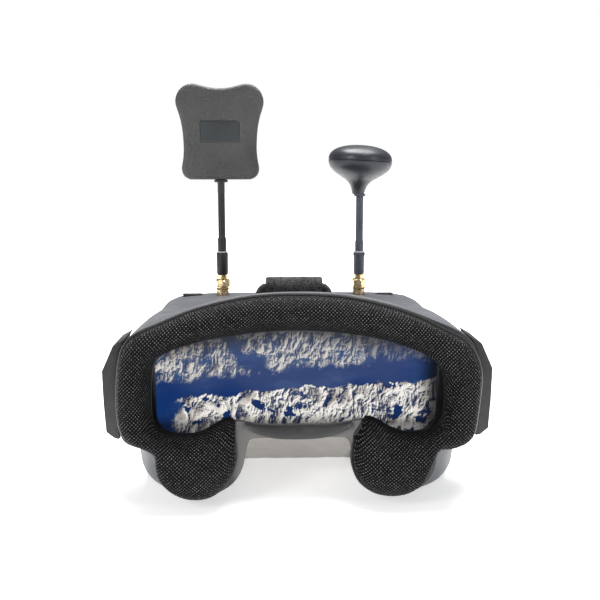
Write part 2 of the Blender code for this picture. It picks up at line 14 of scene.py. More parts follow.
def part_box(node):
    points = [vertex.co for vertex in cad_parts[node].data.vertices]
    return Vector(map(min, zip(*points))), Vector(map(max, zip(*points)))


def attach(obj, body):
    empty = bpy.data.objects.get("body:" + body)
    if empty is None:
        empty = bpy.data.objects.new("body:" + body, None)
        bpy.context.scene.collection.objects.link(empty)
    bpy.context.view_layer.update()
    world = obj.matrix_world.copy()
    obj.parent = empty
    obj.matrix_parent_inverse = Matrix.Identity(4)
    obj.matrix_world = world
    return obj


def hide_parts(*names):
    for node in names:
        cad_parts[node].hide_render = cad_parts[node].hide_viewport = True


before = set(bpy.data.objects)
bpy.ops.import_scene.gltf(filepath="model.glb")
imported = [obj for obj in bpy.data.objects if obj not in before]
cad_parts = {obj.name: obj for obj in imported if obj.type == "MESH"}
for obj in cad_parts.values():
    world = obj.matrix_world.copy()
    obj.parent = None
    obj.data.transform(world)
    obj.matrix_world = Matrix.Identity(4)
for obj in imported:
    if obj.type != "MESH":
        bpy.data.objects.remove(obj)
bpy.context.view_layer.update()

MM = 0.001
FRONT_Y = 75.0
Y_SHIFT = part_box("module_front_case")[1].y / MM - FRONT_Y
FACE_Y = -75.0
SPLIT_Y = 34.0
NOSE_END_Y = -7.0
CROWN_Y = (-41.0, -9.0)
SHOULDER = (0, 0, 0, 0.15, 0.6, 1, 1, 1)
BOX_HALF = 78.0
TOP_Z = 75.5
PLATE = 2.4
PAD = 15.0
TAPE = 0.8
GAP = 0.3
WALL = 2.2
PANEL_X = -41.1
MUSHROOM_X = 39.3
JACK_Y = 63.0
PIVOT_Z = 84.6
PANEL_Z = 142.6
CAP_SEAM_Z = 153.4
CAP_TILT = math.radians(3.0)
CAP_R = 18.3
BRIDGE_Y = 30.0
BRIDGE_Z = 85.4
LOOP_LENGTH = 31.0
LOOP_DROP = 0.5  # the strap loop's middle lies this far below the bridge's bar

# The face's outline on its right half from the brow's top down to the nose, as (x, z): the plate's
# outer edge, the opening's edge, and the box's own section.
OUTER = (
    (0, 93.2), (16, 92.7), (31, 90.8), (46.5, 87.1), (60, 82.3), (70, 78.4), (76.3, 74.4), (79.6, 68.5),
    (81.3, 57), (81.3, 45), (80.4, 34), (78.4, 28.7), (73.5, 26), (66.5, 24), (62.8, 20.5), (61.8, 14.2),
    (58.4, 8), (52.4, 3.9), (44, 2.6), (36.4, 4), (29.8, 8), (26, 13.8), (24.3, 20.5), (22.5, 26.3),
    (17, 26.2), (9, 24.9), (0, 24.4),
)
OPENING = (
    (0, 77), (14, 76.6), (27, 75.5), (38, 74), (48, 71.8), (56, 69), (61, 65.5), (63.6, 60.5),
    (64.6, 53), (64.8, 46), (64.5, 40), (63, 36.2), (60, 34.2), (56.5, 33), (53.5, 32.4), (50.5, 32.2),
    (47, 32.5), (43.5, 33.4), (40, 35), (36.8, 36.8), (34, 38), (31.6, 38.4), (29.8, 37.6), (26, 36),
    (19, 33.4), (10, 31.2), (0, 30.4),
)
BOX = (
    (0, 75.5), (16, 75.5), (32, 75.5), (48, 75.4), (60, 74.8), (68, 73.7), (73.5, 71.3), (76.8, 67),
    (78, 59), (78, 48), (78, 38), (78, 30), (78, 24), (78, 19), (77.9, 14), (77, 9),
    (74.5, 4), (70.5, 0.9), (64, 0), (54, 0), (45, 0), (38, 0), (32, 0), (26.3, 0),
    (20, 0), (10, 0), (0, 0),
)
# The sewn pad isn't quite even from side to side. These are its outer edge on each side, from the
# temple's top down round the cheek to the nose, its brow, and its inner edge on each side.
TEMPLE_LEFT = (
    (-71.6, 77.6), (-76.2, 72.6), (-78.2, 65.6), (-79.2, 55), (-79.2, 42), (-77.2, 34), (-72.2, 30),
    (-66, 27.4), (-63.4, 24), (-63, 19), (-61.6, 13.8), (-57.4, 8.9), (-52.2, 5.9), (-46.6, 4.9),
    (-40.6, 5.7), (-35, 9.1), (-30.8, 14.6), (-28.6, 21), (-28.6, 28.4),
)
TEMPLE_RIGHT = (
    (72.2, 74.9), (76, 70.7), (78.4, 65.6), (79.8, 59.3), (79.5, 51), (78.6, 42), (77.4, 34),
    (74.4, 29.6), (68.6, 27.2), (61.8, 26), (59, 22.6), (57.4, 17), (54.6, 11), (50, 7.2), (44.4, 5.6),
    (38.6, 5.6), (33, 7), (27.6, 10.8), (24.8, 16.4), (23.9, 22), (25.2, 29.6),
)
BROW_LEFT = ((-60, 82.4), (-46.5, 87.3), (-31, 90.9), (-16, 92.8))
BROW_RIGHT = ((0, 93.1), (16, 92.5), (31, 90.2), (46.5, 86.2), (56.6, 82.3), (64.9, 78.3))
INNER_LEFT = (
    (-60.6, 34.4), (-63.9, 36.4), (-65.6, 40.4), (-66, 46), (-65.9, 53), (-65.3, 61), (-63, 66.2),
    (-57.6, 69.3), (-48, 72), (-38, 74), (-27, 75.3), (-14, 76.4),
)
INNER_RIGHT = (
    (0, 76.8), (14, 76.2), (27, 74.9), (38, 73), (48, 70.3), (56, 67.2), (61.4, 63.6), (64.4, 58.6),
    (65.2, 52.4), (65.2, 46), (64.7, 40), (63, 36.2), (60, 34.2),
)
PAD_OPENING_END = (28.8, 35.6)
# Across the pad from its outer edge to its inner edge, as shares of its width and of its thickness
PAD_SECTION = (
    (0.012, 0.055), (-0.012, 0.22), (-0.004, 0.42), (0.03, 0.64), (0.1, 0.83), (0.3, 0.985), (0.55, 1.0),
    (0.78, 0.86), (0.93, 0.58), (1.0, 0.28), (0.99, 0.055),
)
PIPING_AT = (-0.022, 0.40)
STITCHES_AT = (0.045, 0.70)


# ---------------------------------------------------------------- shape helpers


def spot(p):
    """A point of the tables as the frame has it, in metres."""
    return Vector((p[0], p[1] + Y_SHIFT, p[2])) * MM


def smooth(edge0, edge1, x):
    t = min(1.0, max(0.0, (x - edge0) / (edge1 - edge0)))
    return t * t * (3 - 2 * t)


def between(a, b, t):
    return tuple(p + (q - p) * t for p, q in zip(a, b))


def both_sides(half, closed=False):
    """A right half that starts on the centre line, made whole, from its left end to its right end."""
    left = [(-p[0],) + tuple(p[1:]) for p in half[1:]]
    if closed:
        left = left[:-1]
    return left[::-1] + list(half)


def spline(points, steps, closed=False):
    """Points on a Catmull-Rom curve through the given ones."""
    pts = [Vector(p) for p in points]
    if closed:
        ring = [pts[-1]] + pts + pts[:2]
    else:
        ring = [2 * pts[0] - pts[1]] + pts + [2 * pts[-1] - pts[-2]]
    out = []
    for i in range(len(ring) - 3):
        a, b, c, d = ring[i : i + 4]
        square = 2 * a - 5 * b + 4 * c - d
        cube = 3 * b - a - 3 * c + d
        for k in range(steps):
            t = k / steps
            out.append((2 * b + (c - a) * t + square * t**2 + cube * t**3) / 2)
    if not closed:
        out.append(pts[-1])
    return out


def whole_outline(half, steps):
    """A smooth closed outline from its right half."""
    return spline(both_sides(half, closed=True), steps, closed=True)


def round_box(half_x, z_low, z_high, radius, steps=6):
    points = []
    for cx, cz, begin in (
        (half_x - radius, z_high - radius, 0), (radius - half_x, z_high - radius, 90),
        (radius - half_x, z_low + radius, 180), (half_x - radius, z_low + radius, 270),
    ):
        for k in range(steps + 1):
            a = math.radians(begin + 90 * k / steps)
            points.append((cx + radius * math.cos(a), cz + radius * math.sin(a)))
    return points


def mesh_from(bm, name):
    mesh = bpy.data.meshes.new(name)
    bm.to_mesh(mesh)
    bm.free()
    return mesh


def placed(name, data):
    obj = bpy.data.objects.new(name, data)
    bpy.context.scene.collection.objects.link(obj)
    return obj


def point_values(mesh, name, values):
    mesh.attributes.new(name, "FLOAT", "POINT").data.foreach_set("value", values)


def loft(name, rows, hoop=False, caps=False, uv=None, place=spot, sharp=35):
    """A mesh between closed rows of points. A hoop joins the last row to the first."""
    bm = bmesh.new()
    verts = [[bm.verts.new(place(p)) for p in row] for row in rows]
    layer = bm.loops.layers.uv.new("UVMap") if uv else None
    count = len(rows[0])
    for i in range(len(rows) if hoop else len(rows) - 1):
        for j in range(count):
            corners = ((i, j), (i, j + 1), (i + 1, j + 1), (i + 1, j))
            face = bm.faces.new([verts[a % len(rows)][b % count] for a, b in corners])
            if layer:
                for loop, (a, b) in zip(face.loops, corners):
                    loop[layer].uv = uv(a, b)
    if caps:
        bm.faces.new(verts[0])
        bm.faces.new(verts[-1])
    bmesh.ops.recalc_face_normals(bm, faces=bm.faces)
    mesh = mesh_from(bm, name)
    mesh.shade_smooth()
    mesh.set_sharp_from_angle(angle=math.radians(sharp))
    return mesh


def revolve(name, profile, steps=48, place=spot, at=(0, 0, 0), hoop=False):
    """A turned shape about Z from a profile of (radius, height), with flat caps or as a hoop."""
    circle = [2 * math.pi * k / steps for k in range(steps)]
    rows = []
    for radius, z in profile:
        rows.append([(at[0] + radius * math.cos(a), at[1] + radius * math.sin(a), at[2] + z) for a in circle])
    return loft(name, rows, hoop=hoop, caps=not hoop, place=place)


def tube(name, points, radius, sides):
    """A round tube through points. UV runs along it in millimetres, and round it from 0 to 1."""
    pts = [Vector(p) for p in points]
    circle = [2 * math.pi * k / sides for k in range(sides)]
    rows, along, total = [], [], 0.0
    side = Vector((0, 1, 0))
    for i, p in enumerate(pts):
        before, after = pts[max(0, i - 1)], pts[min(i + 1, len(pts) - 1)]
        run = (after - before).normalized()
        side = (side - run * side.dot(run)).normalized()
        other = run.cross(side)
        total += (p - before).length
        along.append(total)
        rows.append([p + (side * math.cos(a) + other * math.sin(a)) * radius for a in circle])
    return loft(name, rows, caps=True, uv=lambda i, j: (along[i], j / sides))


def add(mesh, body, look, replaced):
    """Puts a piece in the scene under its mesh's name, riding on a body."""
    obj = placed(mesh.name, mesh)
    mesh.materials.append(look)
    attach(obj, body)
    if replaced:
        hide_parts(*replaced)
    return obj


def keep(node_name, look, soft=0.0):
    """Gives a CAD node its finish. Its corners are softened by modifiers, and its own mesh stays as it is."""
    corner_angle = math.radians(32)
    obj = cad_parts[node_name]
    mesh = obj.data
    mesh.materials.clear()
    mesh.materials.append(look)
    for layer in ("custom_normal", "sharp_edge"):
        if layer in mesh.attributes:
            mesh.attributes.remove(mesh.attributes[layer])
    mesh.shade_smooth()
    weld = obj.modifiers.new("weld", "WELD")
    weld.merge_threshold = 0.00001
    if soft:
        flat = obj.modifiers.new("flat_faces", "DECIMATE")
        flat.decimate_type = "DISSOLVE"
        flat.angle_limit = math.radians(1)
        bevel = obj.modifiers.new("soft_edges", "BEVEL")
        bevel.width = soft * MM
        bevel.segments = 2
        bevel.limit_method = "ANGLE"
        bevel.angle_limit = corner_angle
    split = obj.modifiers.new("sharp_edges", "EDGE_SPLIT")
    split.split_angle = corner_angle


# ---------------------------------------------------------------- material helpers


def feed(tree, made, sockets):
    """Sets or links a node's inputs. An input named i0 is its first one."""
    for key, value in sockets.items():
        index = int(key[1:]) if key[0] == "i" and key[1:].isdigit() else key.replace("_", " ")
        if isinstance(value, bpy.types.NodeSocket):
            tree.links.new(value, made.inputs[index])
        else:
            made.inputs[index].default_value = value


def node(tree, kind, props=None, **sockets):
    """A shader node with its properties and inputs set."""
    made = tree.nodes.new(kind)
    for key, value in (props or {}).items():
        setattr(made, key, value)
    feed(tree, made, sockets)
    return made


def maths(tree, operation, a, b=0.0):
    return node(tree, "ShaderNodeMath", {"operation": operation}, i0=a, i1=b).outputs[0]


def times(tree, a, b):
    return maths(tree, "MULTIPLY", a, b)


def plus(tree, a, b):
    return maths(tree, "ADD", a, b)


def minus(tree, a, b):
    return maths(tree, "SUBTRACT", a, b)


def ranged(tree, value, low, high, out_low=0.0, out_high=1.0):
    """Maps a value from one range to another, with a smooth step and clamped ends."""
    made = node(
        tree, "ShaderNodeMapRange", {"interpolation_type": "SMOOTHSTEP"},
        i0=value, i1=low, i2=high, i3=out_low, i4=out_high,
    )
    return made.outputs[0]


def mixed(tree, share, a, b):
    """A colour between two colours."""
    made = node(tree, "ShaderNodeMix", {"data_type": "RGBA"}, i0=share, i6=a, i7=b)
    return made.outputs[2]


def noise_of(tree, vector, scale, detail=3.0, rough=0.55, **more):
    made = node(
        tree, "ShaderNodeTexNoise", None, Vector=vector, Scale=scale, Detail=detail, Roughness=rough, **more
    )
    return made.outputs[0]


def warped(tree, vector, scale, detail, reach):
    """The vector, moved about by a noise."""
    bend = node(tree, "ShaderNodeTexNoise", None, Vector=vector, Scale=scale, Detail=detail).outputs[1]
    bend = node(tree, "ShaderNodeVectorMath", {"operation": "SCALE"}, i0=bend, Scale=reach).outputs[0]
    return node(tree, "ShaderNodeVectorMath", {"operation": "ADD"}, i0=vector, i1=bend).outputs[0]


def length_of(tree, vector):
    return node(tree, "ShaderNodeVectorMath", {"operation": "LENGTH"}, i0=vector).outputs["Value"]


def object_point(tree):
    return node(tree, "ShaderNodeTexCoord").outputs["Object"]


def bumped(tree, strength, depth, height, invert=False):
    made = node(
        tree, "ShaderNodeBump", {"invert": invert}, Strength=strength, Distance=depth, Height=height
    )
    return made.outputs[0]


def new_material(name):
    mat = bpy.data.materials.new(name)
    mat.use_nodes = True
    return mat, mat.node_tree


def shade(mat, **sockets):
    """Sets or links the inputs of the material's own shader."""
    feed(mat.node_tree, mat.node_tree.nodes["Principled BSDF"], sockets)
    return mat


def grey(level, tint=(1, 1, 1)):
    return (level * tint[0], level * tint[1], level * tint[2], 1)


def tone(colour, factor=1, lift=0):
    """A lighter or darker tone of a colour."""
    return [min(1, c * factor + lift) for c in colour] + [1]


def moulded(
    name, colour, rough=0.45, grain=0.12, grain_mm=0.35, wear_and_edge_light=0.35, blotch=0.12, inner=None, spec=0.5
):
    """Moulded plastic: spark-eroded grain, uneven sheen, faint blotches, and edges painted lighter: partly
    worn edges and partly painted highlight.

    inner is a second, paler colour of painted light, for where the mesh's "inner" attribute is 1.
    """
    mat, tree = new_material(name)
    where = object_point(tree)
    cloudy = noise_of(tree, where, 38, 4)
    fine = noise_of(tree, where, 0.6 / (grain_mm * MM), 2)
    smudge = noise_of(tree, where, 120, 5, 0.6)
    base = mixed(tree, ranged(tree, cloudy, 0.35, 0.65), tone(colour, 1 - blotch), tone(colour, 1 + blotch))
    if inner:
        zone = node(tree, "ShaderNodeAttribute", {"attribute_name": "inner"}).outputs["Fac"]
        base = mixed(tree, zone, base, tone(inner))
    # Convex edges are painted lighter: partly worn edges, partly painted highlight
    edge = node(tree, "ShaderNodeNewGeometry").outputs["Pointiness"]
    rubbed_and_lit = times(tree, ranged(tree, edge, 0.515, 0.58), wear_and_edge_light)
    rubbed_and_lit = times(tree, rubbed_and_lit, ranged(tree, smudge, 0.3, 0.62))
    return shade(
        mat, Base_Color=mixed(tree, rubbed_and_lit, base, tone(colour, 1.8, 0.03)),
        Roughness=ranged(tree, smudge, 0.3, 0.7, rough - 0.07, rough + 0.08), Specular_IOR_Level=spec,
        Normal=bumped(tree, grain, grain_mm * MM, fine),
    )


def metal(name, colour, rough=0.25, brushed=0.0):
    """Plated or plain metal with fine scratches and dull patches."""
    mat, tree = new_material(name)
    where = object_point(tree)
    squeezed = node(tree, "ShaderNodeMapping", None, Vector=where, Scale=(1, 1, 1 + 14 * brushed)).outputs[0]
    scratch = noise_of(tree, squeezed, 900, 4, 0.65)
    patch = noise_of(tree, where, 260, 3)
    return shade(
        mat, Base_Color=mixed(tree, ranged(tree, patch, 0.42, 0.75), tone(colour), tone(colour, 0.72)),
        Roughness=ranged(tree, scratch, 0.3, 0.7, rough - 0.08, rough + 0.12), Metallic=1.0,
        Normal=bumped(tree, 0.18, 0.00012, scratch),
    )


WEAVE_MM = 1.16  # between threads of the air mesh


def air_mesh():
    """Spacer fabric: two sets of threads on the slant, painted glints on them, and painted shade in the hole
    of each diamond between them.
    """
    mat, tree = new_material("air_mesh")
    uv = node(tree, "ShaderNodeUVMap", {"uv_map": "UVMap"}).outputs[0]
    split = node(tree, "ShaderNodeSeparateXYZ", None, i0=warped(tree, uv, 0.09, 2.0, 1.5))
    u, v = split.outputs[0], split.outputs[1]
    turn = 2 * math.pi / (WEAVE_MM * math.sqrt(2))
    one, two = [
        ranged(tree, maths(tree, "COSINE", times(tree, maths(tree, way, u, v), turn)), -0.35, 0.95)
        for way in ("ADD", "SUBTRACT")
    ]
    over = maths(tree, "COSINE", times(tree, plus(tree, u, v), turn / 2))
    crossing = times(tree, one, two)
    height = plus(tree, maths(tree, "MAXIMUM", one, two), times(tree, crossing, 0.6))
    height = plus(tree, height, times(tree, times(tree, over, one), 0.2))
    # The pad's inner edge and the brow's inner wall get darker weaveless cloth: partly a smoother band of
    # cover, partly painted shade
    plain_and_shaded = node(tree, "ShaderNodeAttribute", {"attribute_name": "weaveless_shaded_zone"}).outputs["Fac"]
    cloudy = ranged(tree, noise_of(tree, object_point(tree), 90, 4), 0.3, 0.7)
    glint_spread = noise_of(tree, uv, 2.6, 2)
    strand = mixed(tree, cloudy, grey(0.006, (1, 1, 1.03)), grey(0.014, (1, 1, 1.05)))
    # Painted highlights: light dashes along one set of threads, strongest where the threads cross
    dash = plus(tree, times(tree, crossing, 0.75), times(tree, two, 0.5))
    painted_glint = times(tree, ranged(tree, dash, 0.55, 1.15), ranged(tree, glint_spread, 0.4, 0.7))
    # The hollows are painted near black: painted shade in the holes
    cloth = mixed(tree, ranged(tree, height, 0.35, 1.0), grey(0.0012), strand)
    cloth = mixed(tree, times(tree, painted_glint, 0.9), cloth, grey(0.32, (1, 1, 1.05)))
    soft = mixed(tree, cloudy, grey(0.006), grey(0.010))
    return shade(
        mat, Base_Color=mixed(tree, times(tree, plain_and_shaded, 0.72), cloth, soft), Roughness=0.72,
        Specular_IOR_Level=0.08, Normal=bumped(tree, 0.75, 0.00035, height),
    )


def twisted_cord(name, colour, pitch_mm=1.1):
    """A glossy twisted cord, along the UV of a tube, with painted shade in the grooves between its twists."""
    mat, tree = new_material(name)
    uv = node(tree, "ShaderNodeUVMap", {"uv_map": "UVMap"}).outputs[0]
    split = node(tree, "ShaderNodeSeparateXYZ", None, i0=uv)
    lay = plus(tree, maths(tree, "DIVIDE", split.outputs[0], pitch_mm), split.outputs[1])
    # The same ridge paints the grooves darker: painted shade between the twists
    ridge = maths(tree, "ABSOLUTE", maths(tree, "SINE", times(tree, lay, math.pi)))
    return shade(
        mat, Base_Color=mixed(tree, ridge, tone(colour, 0.35), tone(colour)), Roughness=0.34,
        Normal=bumped(tree, 0.7, 0.0003, ridge),
    )


def fuzzy_webbing(name):
    """The loop side of hook-and-loop tape: short tangled fibres in tufts."""
    mat, tree = new_material(name)
    where = object_point(tree)
    fuzz = noise_of(tree, where, 1500, 3, 0.7)
    tuft = noise_of(tree, where, 520, 3, 0.6, Distortion=1.2)
    both = plus(tree, times(tree, tuft, 0.65), times(tree, fuzz, 0.35))
    return shade(
        mat, Base_Color=mixed(tree, ranged(tree, both, 0.36, 0.62), grey(0.006), grey(0.055, (1, 1, 1.03))),
        Roughness=0.9, Specular_IOR_Level=0.2, Sheen_Weight=0.4, Sheen_Roughness=0.4,
        Normal=bumped(tree, 0.9, 0.0005, both),
    )


def heat_shrink(name, colour, rough=0.38):
    """Shrunk sleeve: long soft wrinkles, painted darker in their folds and lighter on their crests as painted
    shade and highlight, and a satin skin.
    """
    mat, tree = new_material(name)
    where = object_point(tree)
    long_way = node(tree, "ShaderNodeMapping", None, Vector=where, Scale=(1, 1, 0.12)).outputs[0]
    wrinkle = noise_of(tree, long_way, 700, 3)
    skin = noise_of(tree, where, 1600, 2)
    # The colour follows the wrinkles: painted shade in the folds, painted highlight on the crests
    return shade(
        mat,
        Base_Color=mixed(tree, ranged(tree, wrinkle, 0.35, 0.65), tone(colour, 0.75), tone(colour, 1.25)),
        Roughness=ranged(tree, skin, 0.3, 0.7, rough - 0.06, rough + 0.1), Specular_IOR_Level=0.35,
        Normal=bumped(tree, 0.35, 0.0003, wrinkle),
    )


def glossy(name, colour, rough=0.12, coat=0.6):
    """Polished plastic with faint orange peel, dust and fingerprints."""
    mat, tree = new_material(name)
    where = object_point(tree)
    peel = noise_of(tree, where, 240, 2)
    dust = noise_of(tree, where, 2600, 2, 0.7)
    smears = noise_of(tree, where, 70, 5, 0.6)
    specks = times(tree, ranged(tree, dust, 0.68, 0.8), 0.25)
    return shade(
        mat, Base_Color=mixed(tree, specks, tone(colour), grey(0.25)),
        Roughness=ranged(tree, smears, 0.35, 0.75, rough, rough + 0.16), Coat_Weight=coat,
        Coat_Roughness=0.06, Normal=bumped(tree, 0.06, 0.0004, peel),
    )


def circuit_board(name):
    """Green solder mask with faint tracks."""
    mat, tree = new_material(name)
    cells = {"feature": "DISTANCE_TO_EDGE"}
    track = node(tree, "ShaderNodeTexVoronoi", cells, Vector=object_point(tree), Scale=320.0).outputs[0]
    lines = ranged(tree, track, 0.04, 0.09)
    return shade(
        mat, Base_Color=mixed(tree, lines, (0.05, 0.2, 0.09, 1), (0.012, 0.075, 0.035, 1)), Roughness=0.35,
        Normal=bumped(tree, 0.3, 0.0001, lines, invert=True),
    )


def plane_point(tree, x, z, seed):
    return node(tree, "ShaderNodeCombineXYZ", None, i0=x, i1=z, i2=seed).outputs[0]


def relief(tree, x, z, seed, scale):
    """Rough ground seen from above: its height, and how brightly a low sun from the upper left lights it."""
    heights = []
    for dx, dz in ((0.0, 0.0), (-0.42, 0.5)):
        at = plane_point(tree, plus(tree, x, dx), plus(tree, z, dz), seed)
        at = warped(tree, at, scale * 0.8, 4.0, 0.75 / scale)
        slant = {"Rotation": (0, 0, -0.5), "Scale": (1.25, 0.7, 1)}
        at = node(tree, "ShaderNodeMapping", None, Vector=at, **slant).outputs[0]
        ridges = node(
            tree, "ShaderNodeTexNoise", {"noise_type": "RIDGED_MULTIFRACTAL", "normalize": False},
            Vector=at, Scale=scale, Detail=8.0, Roughness=0.5, Lacunarity=2.2, Offset=0.95, Gain=2.2,
        ).outputs[0]
        heights.append(ridges)
    return heights[0], minus(tree, heights[0], heights[1])


def skyline(tree, x, z, level, tilt, height, scale, seed):
    """The rough upper or lower border of a range, as a height along X."""
    at = plane_point(tree, x, times(tree, z, 0.3), seed)
    bumps = minus(tree, noise_of(tree, at, scale, 7, 0.62), 0.5)
    rise = plus(tree, times(tree, x, tilt), level)
    return plus(tree, rise, times(tree, bumps, height))


def mountain_view():
    """The lens, which shows an invented snowy range: two ridges with a deep blue valley between them."""
    mat, tree = new_material("mountain_view")
    split = node(tree, "ShaderNodeSeparateXYZ", None, i0=object_point(tree))
    x = times(tree, split.outputs[0], 1 / MM)
    z = times(tree, split.outputs[2], 1 / MM)

    shade_blue = (0.006, 0.028, 0.12, 1)
    # Near range, below: sunlit snow, bare rock where it is steep, and blue shadow_tone
    height, light = relief(tree, x, z, 17.0, 0.12)
    patchy = noise_of(tree, plane_point(tree, x, z, 33.0), 0.10, 4, 0.55)
    lit = ranged(tree, plus(tree, light, times(tree, patchy, 0.8)), 0.16, 0.56)
    deep = ranged(tree, height, 0.35, 1.3)
    shadow_tone = mixed(tree, deep, (0.003, 0.014, 0.070, 1), (0.035, 0.05, 0.10, 1))
    ground = mixed(tree, deep, (0.50, 0.46, 0.41, 1), (0.95, 0.92, 0.86, 1))
    near = mixed(tree, lit, shadow_tone, ground)
    hollow = noise_of(tree, plane_point(tree, x, times(tree, z, 1.3), 60.0), 0.13, 3, 0.5)
    hollow = plus(tree, hollow, times(tree, light, -0.12))
    near = mixed(tree, ranged(tree, hollow, 0.57, 0.62), near, shade_blue)
    # Far range, above, with haze
    height, light = relief(tree, x, z, 91.0, 0.15)
    lit = ranged(tree, plus(tree, light, times(tree, patchy, 0.7)), 0.16, 0.60)
    deep = ranged(tree, height, 0.3, 1.3)
    shadow_tone = mixed(tree, deep, shade_blue, (0.06, 0.09, 0.17, 1))
    ground = mixed(tree, deep, (0.27, 0.25, 0.235, 1), (0.70, 0.67, 0.62, 1))
    far = mixed(tree, lit, shadow_tone, ground)
    far = mixed(tree, ranged(tree, hollow, 0.56, 0.66), far, (0.02, 0.065, 0.19, 1))
    # The valley between them, with streaks of mist
    low_x = plane_point(tree, times(tree, x, 0.35), z, 5.0)
    mist = noise_of(tree, low_x, 0.11, 6, 0.6)
    valley = mixed(tree, ranged(tree, mist, 0.45, 0.8), (0.005, 0.032, 0.15, 1), (0.03, 0.075, 0.21, 1))

    near_top = skyline(tree, x, z, level=42.6, tilt=0.07, height=13, scale=0.08, seed=3.0)
    far_foot = skyline(tree, x, z, level=52.0, tilt=0.09, height=19, scale=0.06, seed=11.0)
    near_mask = ranged(tree, minus(tree, near_top, z), -0.2, 0.45)
    ragged = noise_of(tree, plane_point(tree, x, z, 44.0), 0.1, 6, 0.65)
    end = plus(tree, x, times(tree, ragged, 26))
    near_mask = times(tree, near_mask, ranged(tree, end, -48.5, -42))
    far_mask = ranged(tree, minus(tree, z, far_foot), -1.2, 2.2)
    # A side valley cuts the far range in two, and its right end sinks in haze
    cut = plus(tree, x, times(tree, minus(tree, z, 56.0), 0.85))
    cut = plus(tree, cut, times(tree, minus(tree, ragged, 0.5), 30))
    cut = maths(tree, "ABSOLUTE", plus(tree, cut, 21.0))
    far_mask = times(tree, far_mask, ranged(tree, cut, 3.5, 8.0))
    far_mask = times(tree, far_mask, ranged(tree, end, 34, 62, 1, 0.3))
    picture = mixed(tree, far_mask, valley, far)
    picture = mixed(tree, near_mask, picture, near)
    # The picture is dimmer towards its top, where the hood shades it, and towards its right end
    dim = ranged(tree, plus(tree, z, maths(tree, "ABSOLUTE", times(tree, x, 0.13))), 62, 73.5, 1, 0.12)
    dim = times(tree, dim, ranged(tree, x, 57, 68, 1, 0.06))
    dim = times(tree, dim, ranged(tree, x, -69.2, -68.8))
    dim = times(tree, dim, ranged(tree, z, 24, 31, 0.25, 1))
    # The lens's fine rings
    spread = plane_point(tree, x, minus(tree, z, 46.0), 0.0)
    groove = maths(tree, "FRACT", times(tree, length_of(tree, spread), 2.5))
    return shade(
        mat, Base_Color=(0.01, 0.01, 0.012, 1), Roughness=0.25, Specular_IOR_Level=0.15,
        Emission_Color=mixed(tree, dim, (0.003, 0.0035, 0.005, 1), picture), Emission_Strength=0.95,
        Normal=bumped(tree, 0.06, 0.0001, groove),
    )


# ---------------------------------------------------------------- finishes

# For moulded ones: colour, roughness, the grain's strength and size in mm, how much the edges are painted
# lighter (worn edges and painted highlight), and blotches
CASE = moulded("case_plastic", (0.084, 0.088, 0.099), 0.42, 0.10, 0.32, 0.25, 0.04)
# The shell's second colour, a light warm grey in the nose channel, is painted light
SHELL = moulded("shell_plastic", (0.084, 0.088, 0.099), 0.42, 0.10, 0.32, 0.25, 0.04, (0.35, 0.33, 0.305))
CASE_DARK = moulded("lug_plastic", (0.020, 0.020, 0.021), 0.46, 0.14, 0.4, 0.5, spec=0.3)
# A light grey painted round the nose on the face plate: painted light
NOSE_PAINTED_LIGHT = (0.17, 0.165, 0.16)
FACE = moulded("face_plastic", (0.05, 0.052, 0.058), 0.5, 0.10, 0.35, 0.2, inner=NOSE_PAINTED_LIGHT, spec=0.35)
BLACK = moulded("black_plastic", (0.018, 0.018, 0.019), 0.42, 0.10, 0.3, 0.3)
PANEL = moulded("panel_plastic", (0.035, 0.035, 0.035), 0.5, 0.6, 0.75, 0.3, 0.22)
BLANK = moulded("blank_label", (0.022, 0.027, 0.030), 0.38, 0.10, 0.3, 0.2, 0.25)
# Near black, for liners in slots and holes: painted shade
SHADE_LINER = moulded("shade_liner_black", (0.006, 0.006, 0.007), 0.5, 0.1, 0.3, 0.1)
RUBBER = moulded("rubber", (0.040, 0.041, 0.043), 0.62, 0.12, 0.25, 0.5)
# The lip's edges are painted strongly lighter: painted highlight along its rim
LIP = moulded("lip_rubber", (0.040, 0.040, 0.042), 0.5, 0.12, 0.3, 0.9, spec=0.35)
MESH = air_mesh()
PIPING = twisted_cord("piping_cord", (0.012, 0.012, 0.013))
THREAD = twisted_cord("stitch_thread", (0.16, 0.16, 0.165), 0.5)
WEBBING = fuzzy_webbing("hook_and_loop")
SLEEVE = heat_shrink("black_sleeve", (0.016, 0.016, 0.018))
BLUE_SLEEVE = heat_shrink("blue_grey_sleeve", (0.055, 0.062, 0.085), 0.45)
RING = moulded("pale_ring", (0.42, 0.42, 0.44), 0.35, 0.05, 0.3, 0.2)
SHINY = glossy("glossy_cap", (0.010, 0.012, 0.018), 0.36, 0.0)
GOLD = metal("gold_plate", (0.80, 0.62, 0.35), 0.2)
BRASS = metal("brass", (0.62, 0.44, 0.18), 0.32, 0.4)
STEEL = metal("steel", (0.50, 0.50, 0.52), 0.3, 0.6)
BOARD = circuit_board("circuit_board")
CELL = glossy("battery_wrap", (0.02, 0.07, 0.22), 0.3, 0.2)
SCREEN = glossy("display_glass", (0.008, 0.009, 0.012), 0.08, 0.8)
VIEW = mountain_view()


# ---------------------------------------------------------------- shroud


def face_y(x, z):
    """Where the face plate's near side lies: it wraps round the brow and steps back at the nose."""
    brow = (16 - 13 * (x / BOX_HALF) ** 2) * smooth(10, 75, z)
    nose = 15 * math.exp(-((x / 22) ** 2)) * (1 - smooth(30, 50, z))
    return FACE_Y + 14 + brow + nose


def on_face(point, lift):
    x, z = point
    return (x, face_y(x, z) - lift, z)


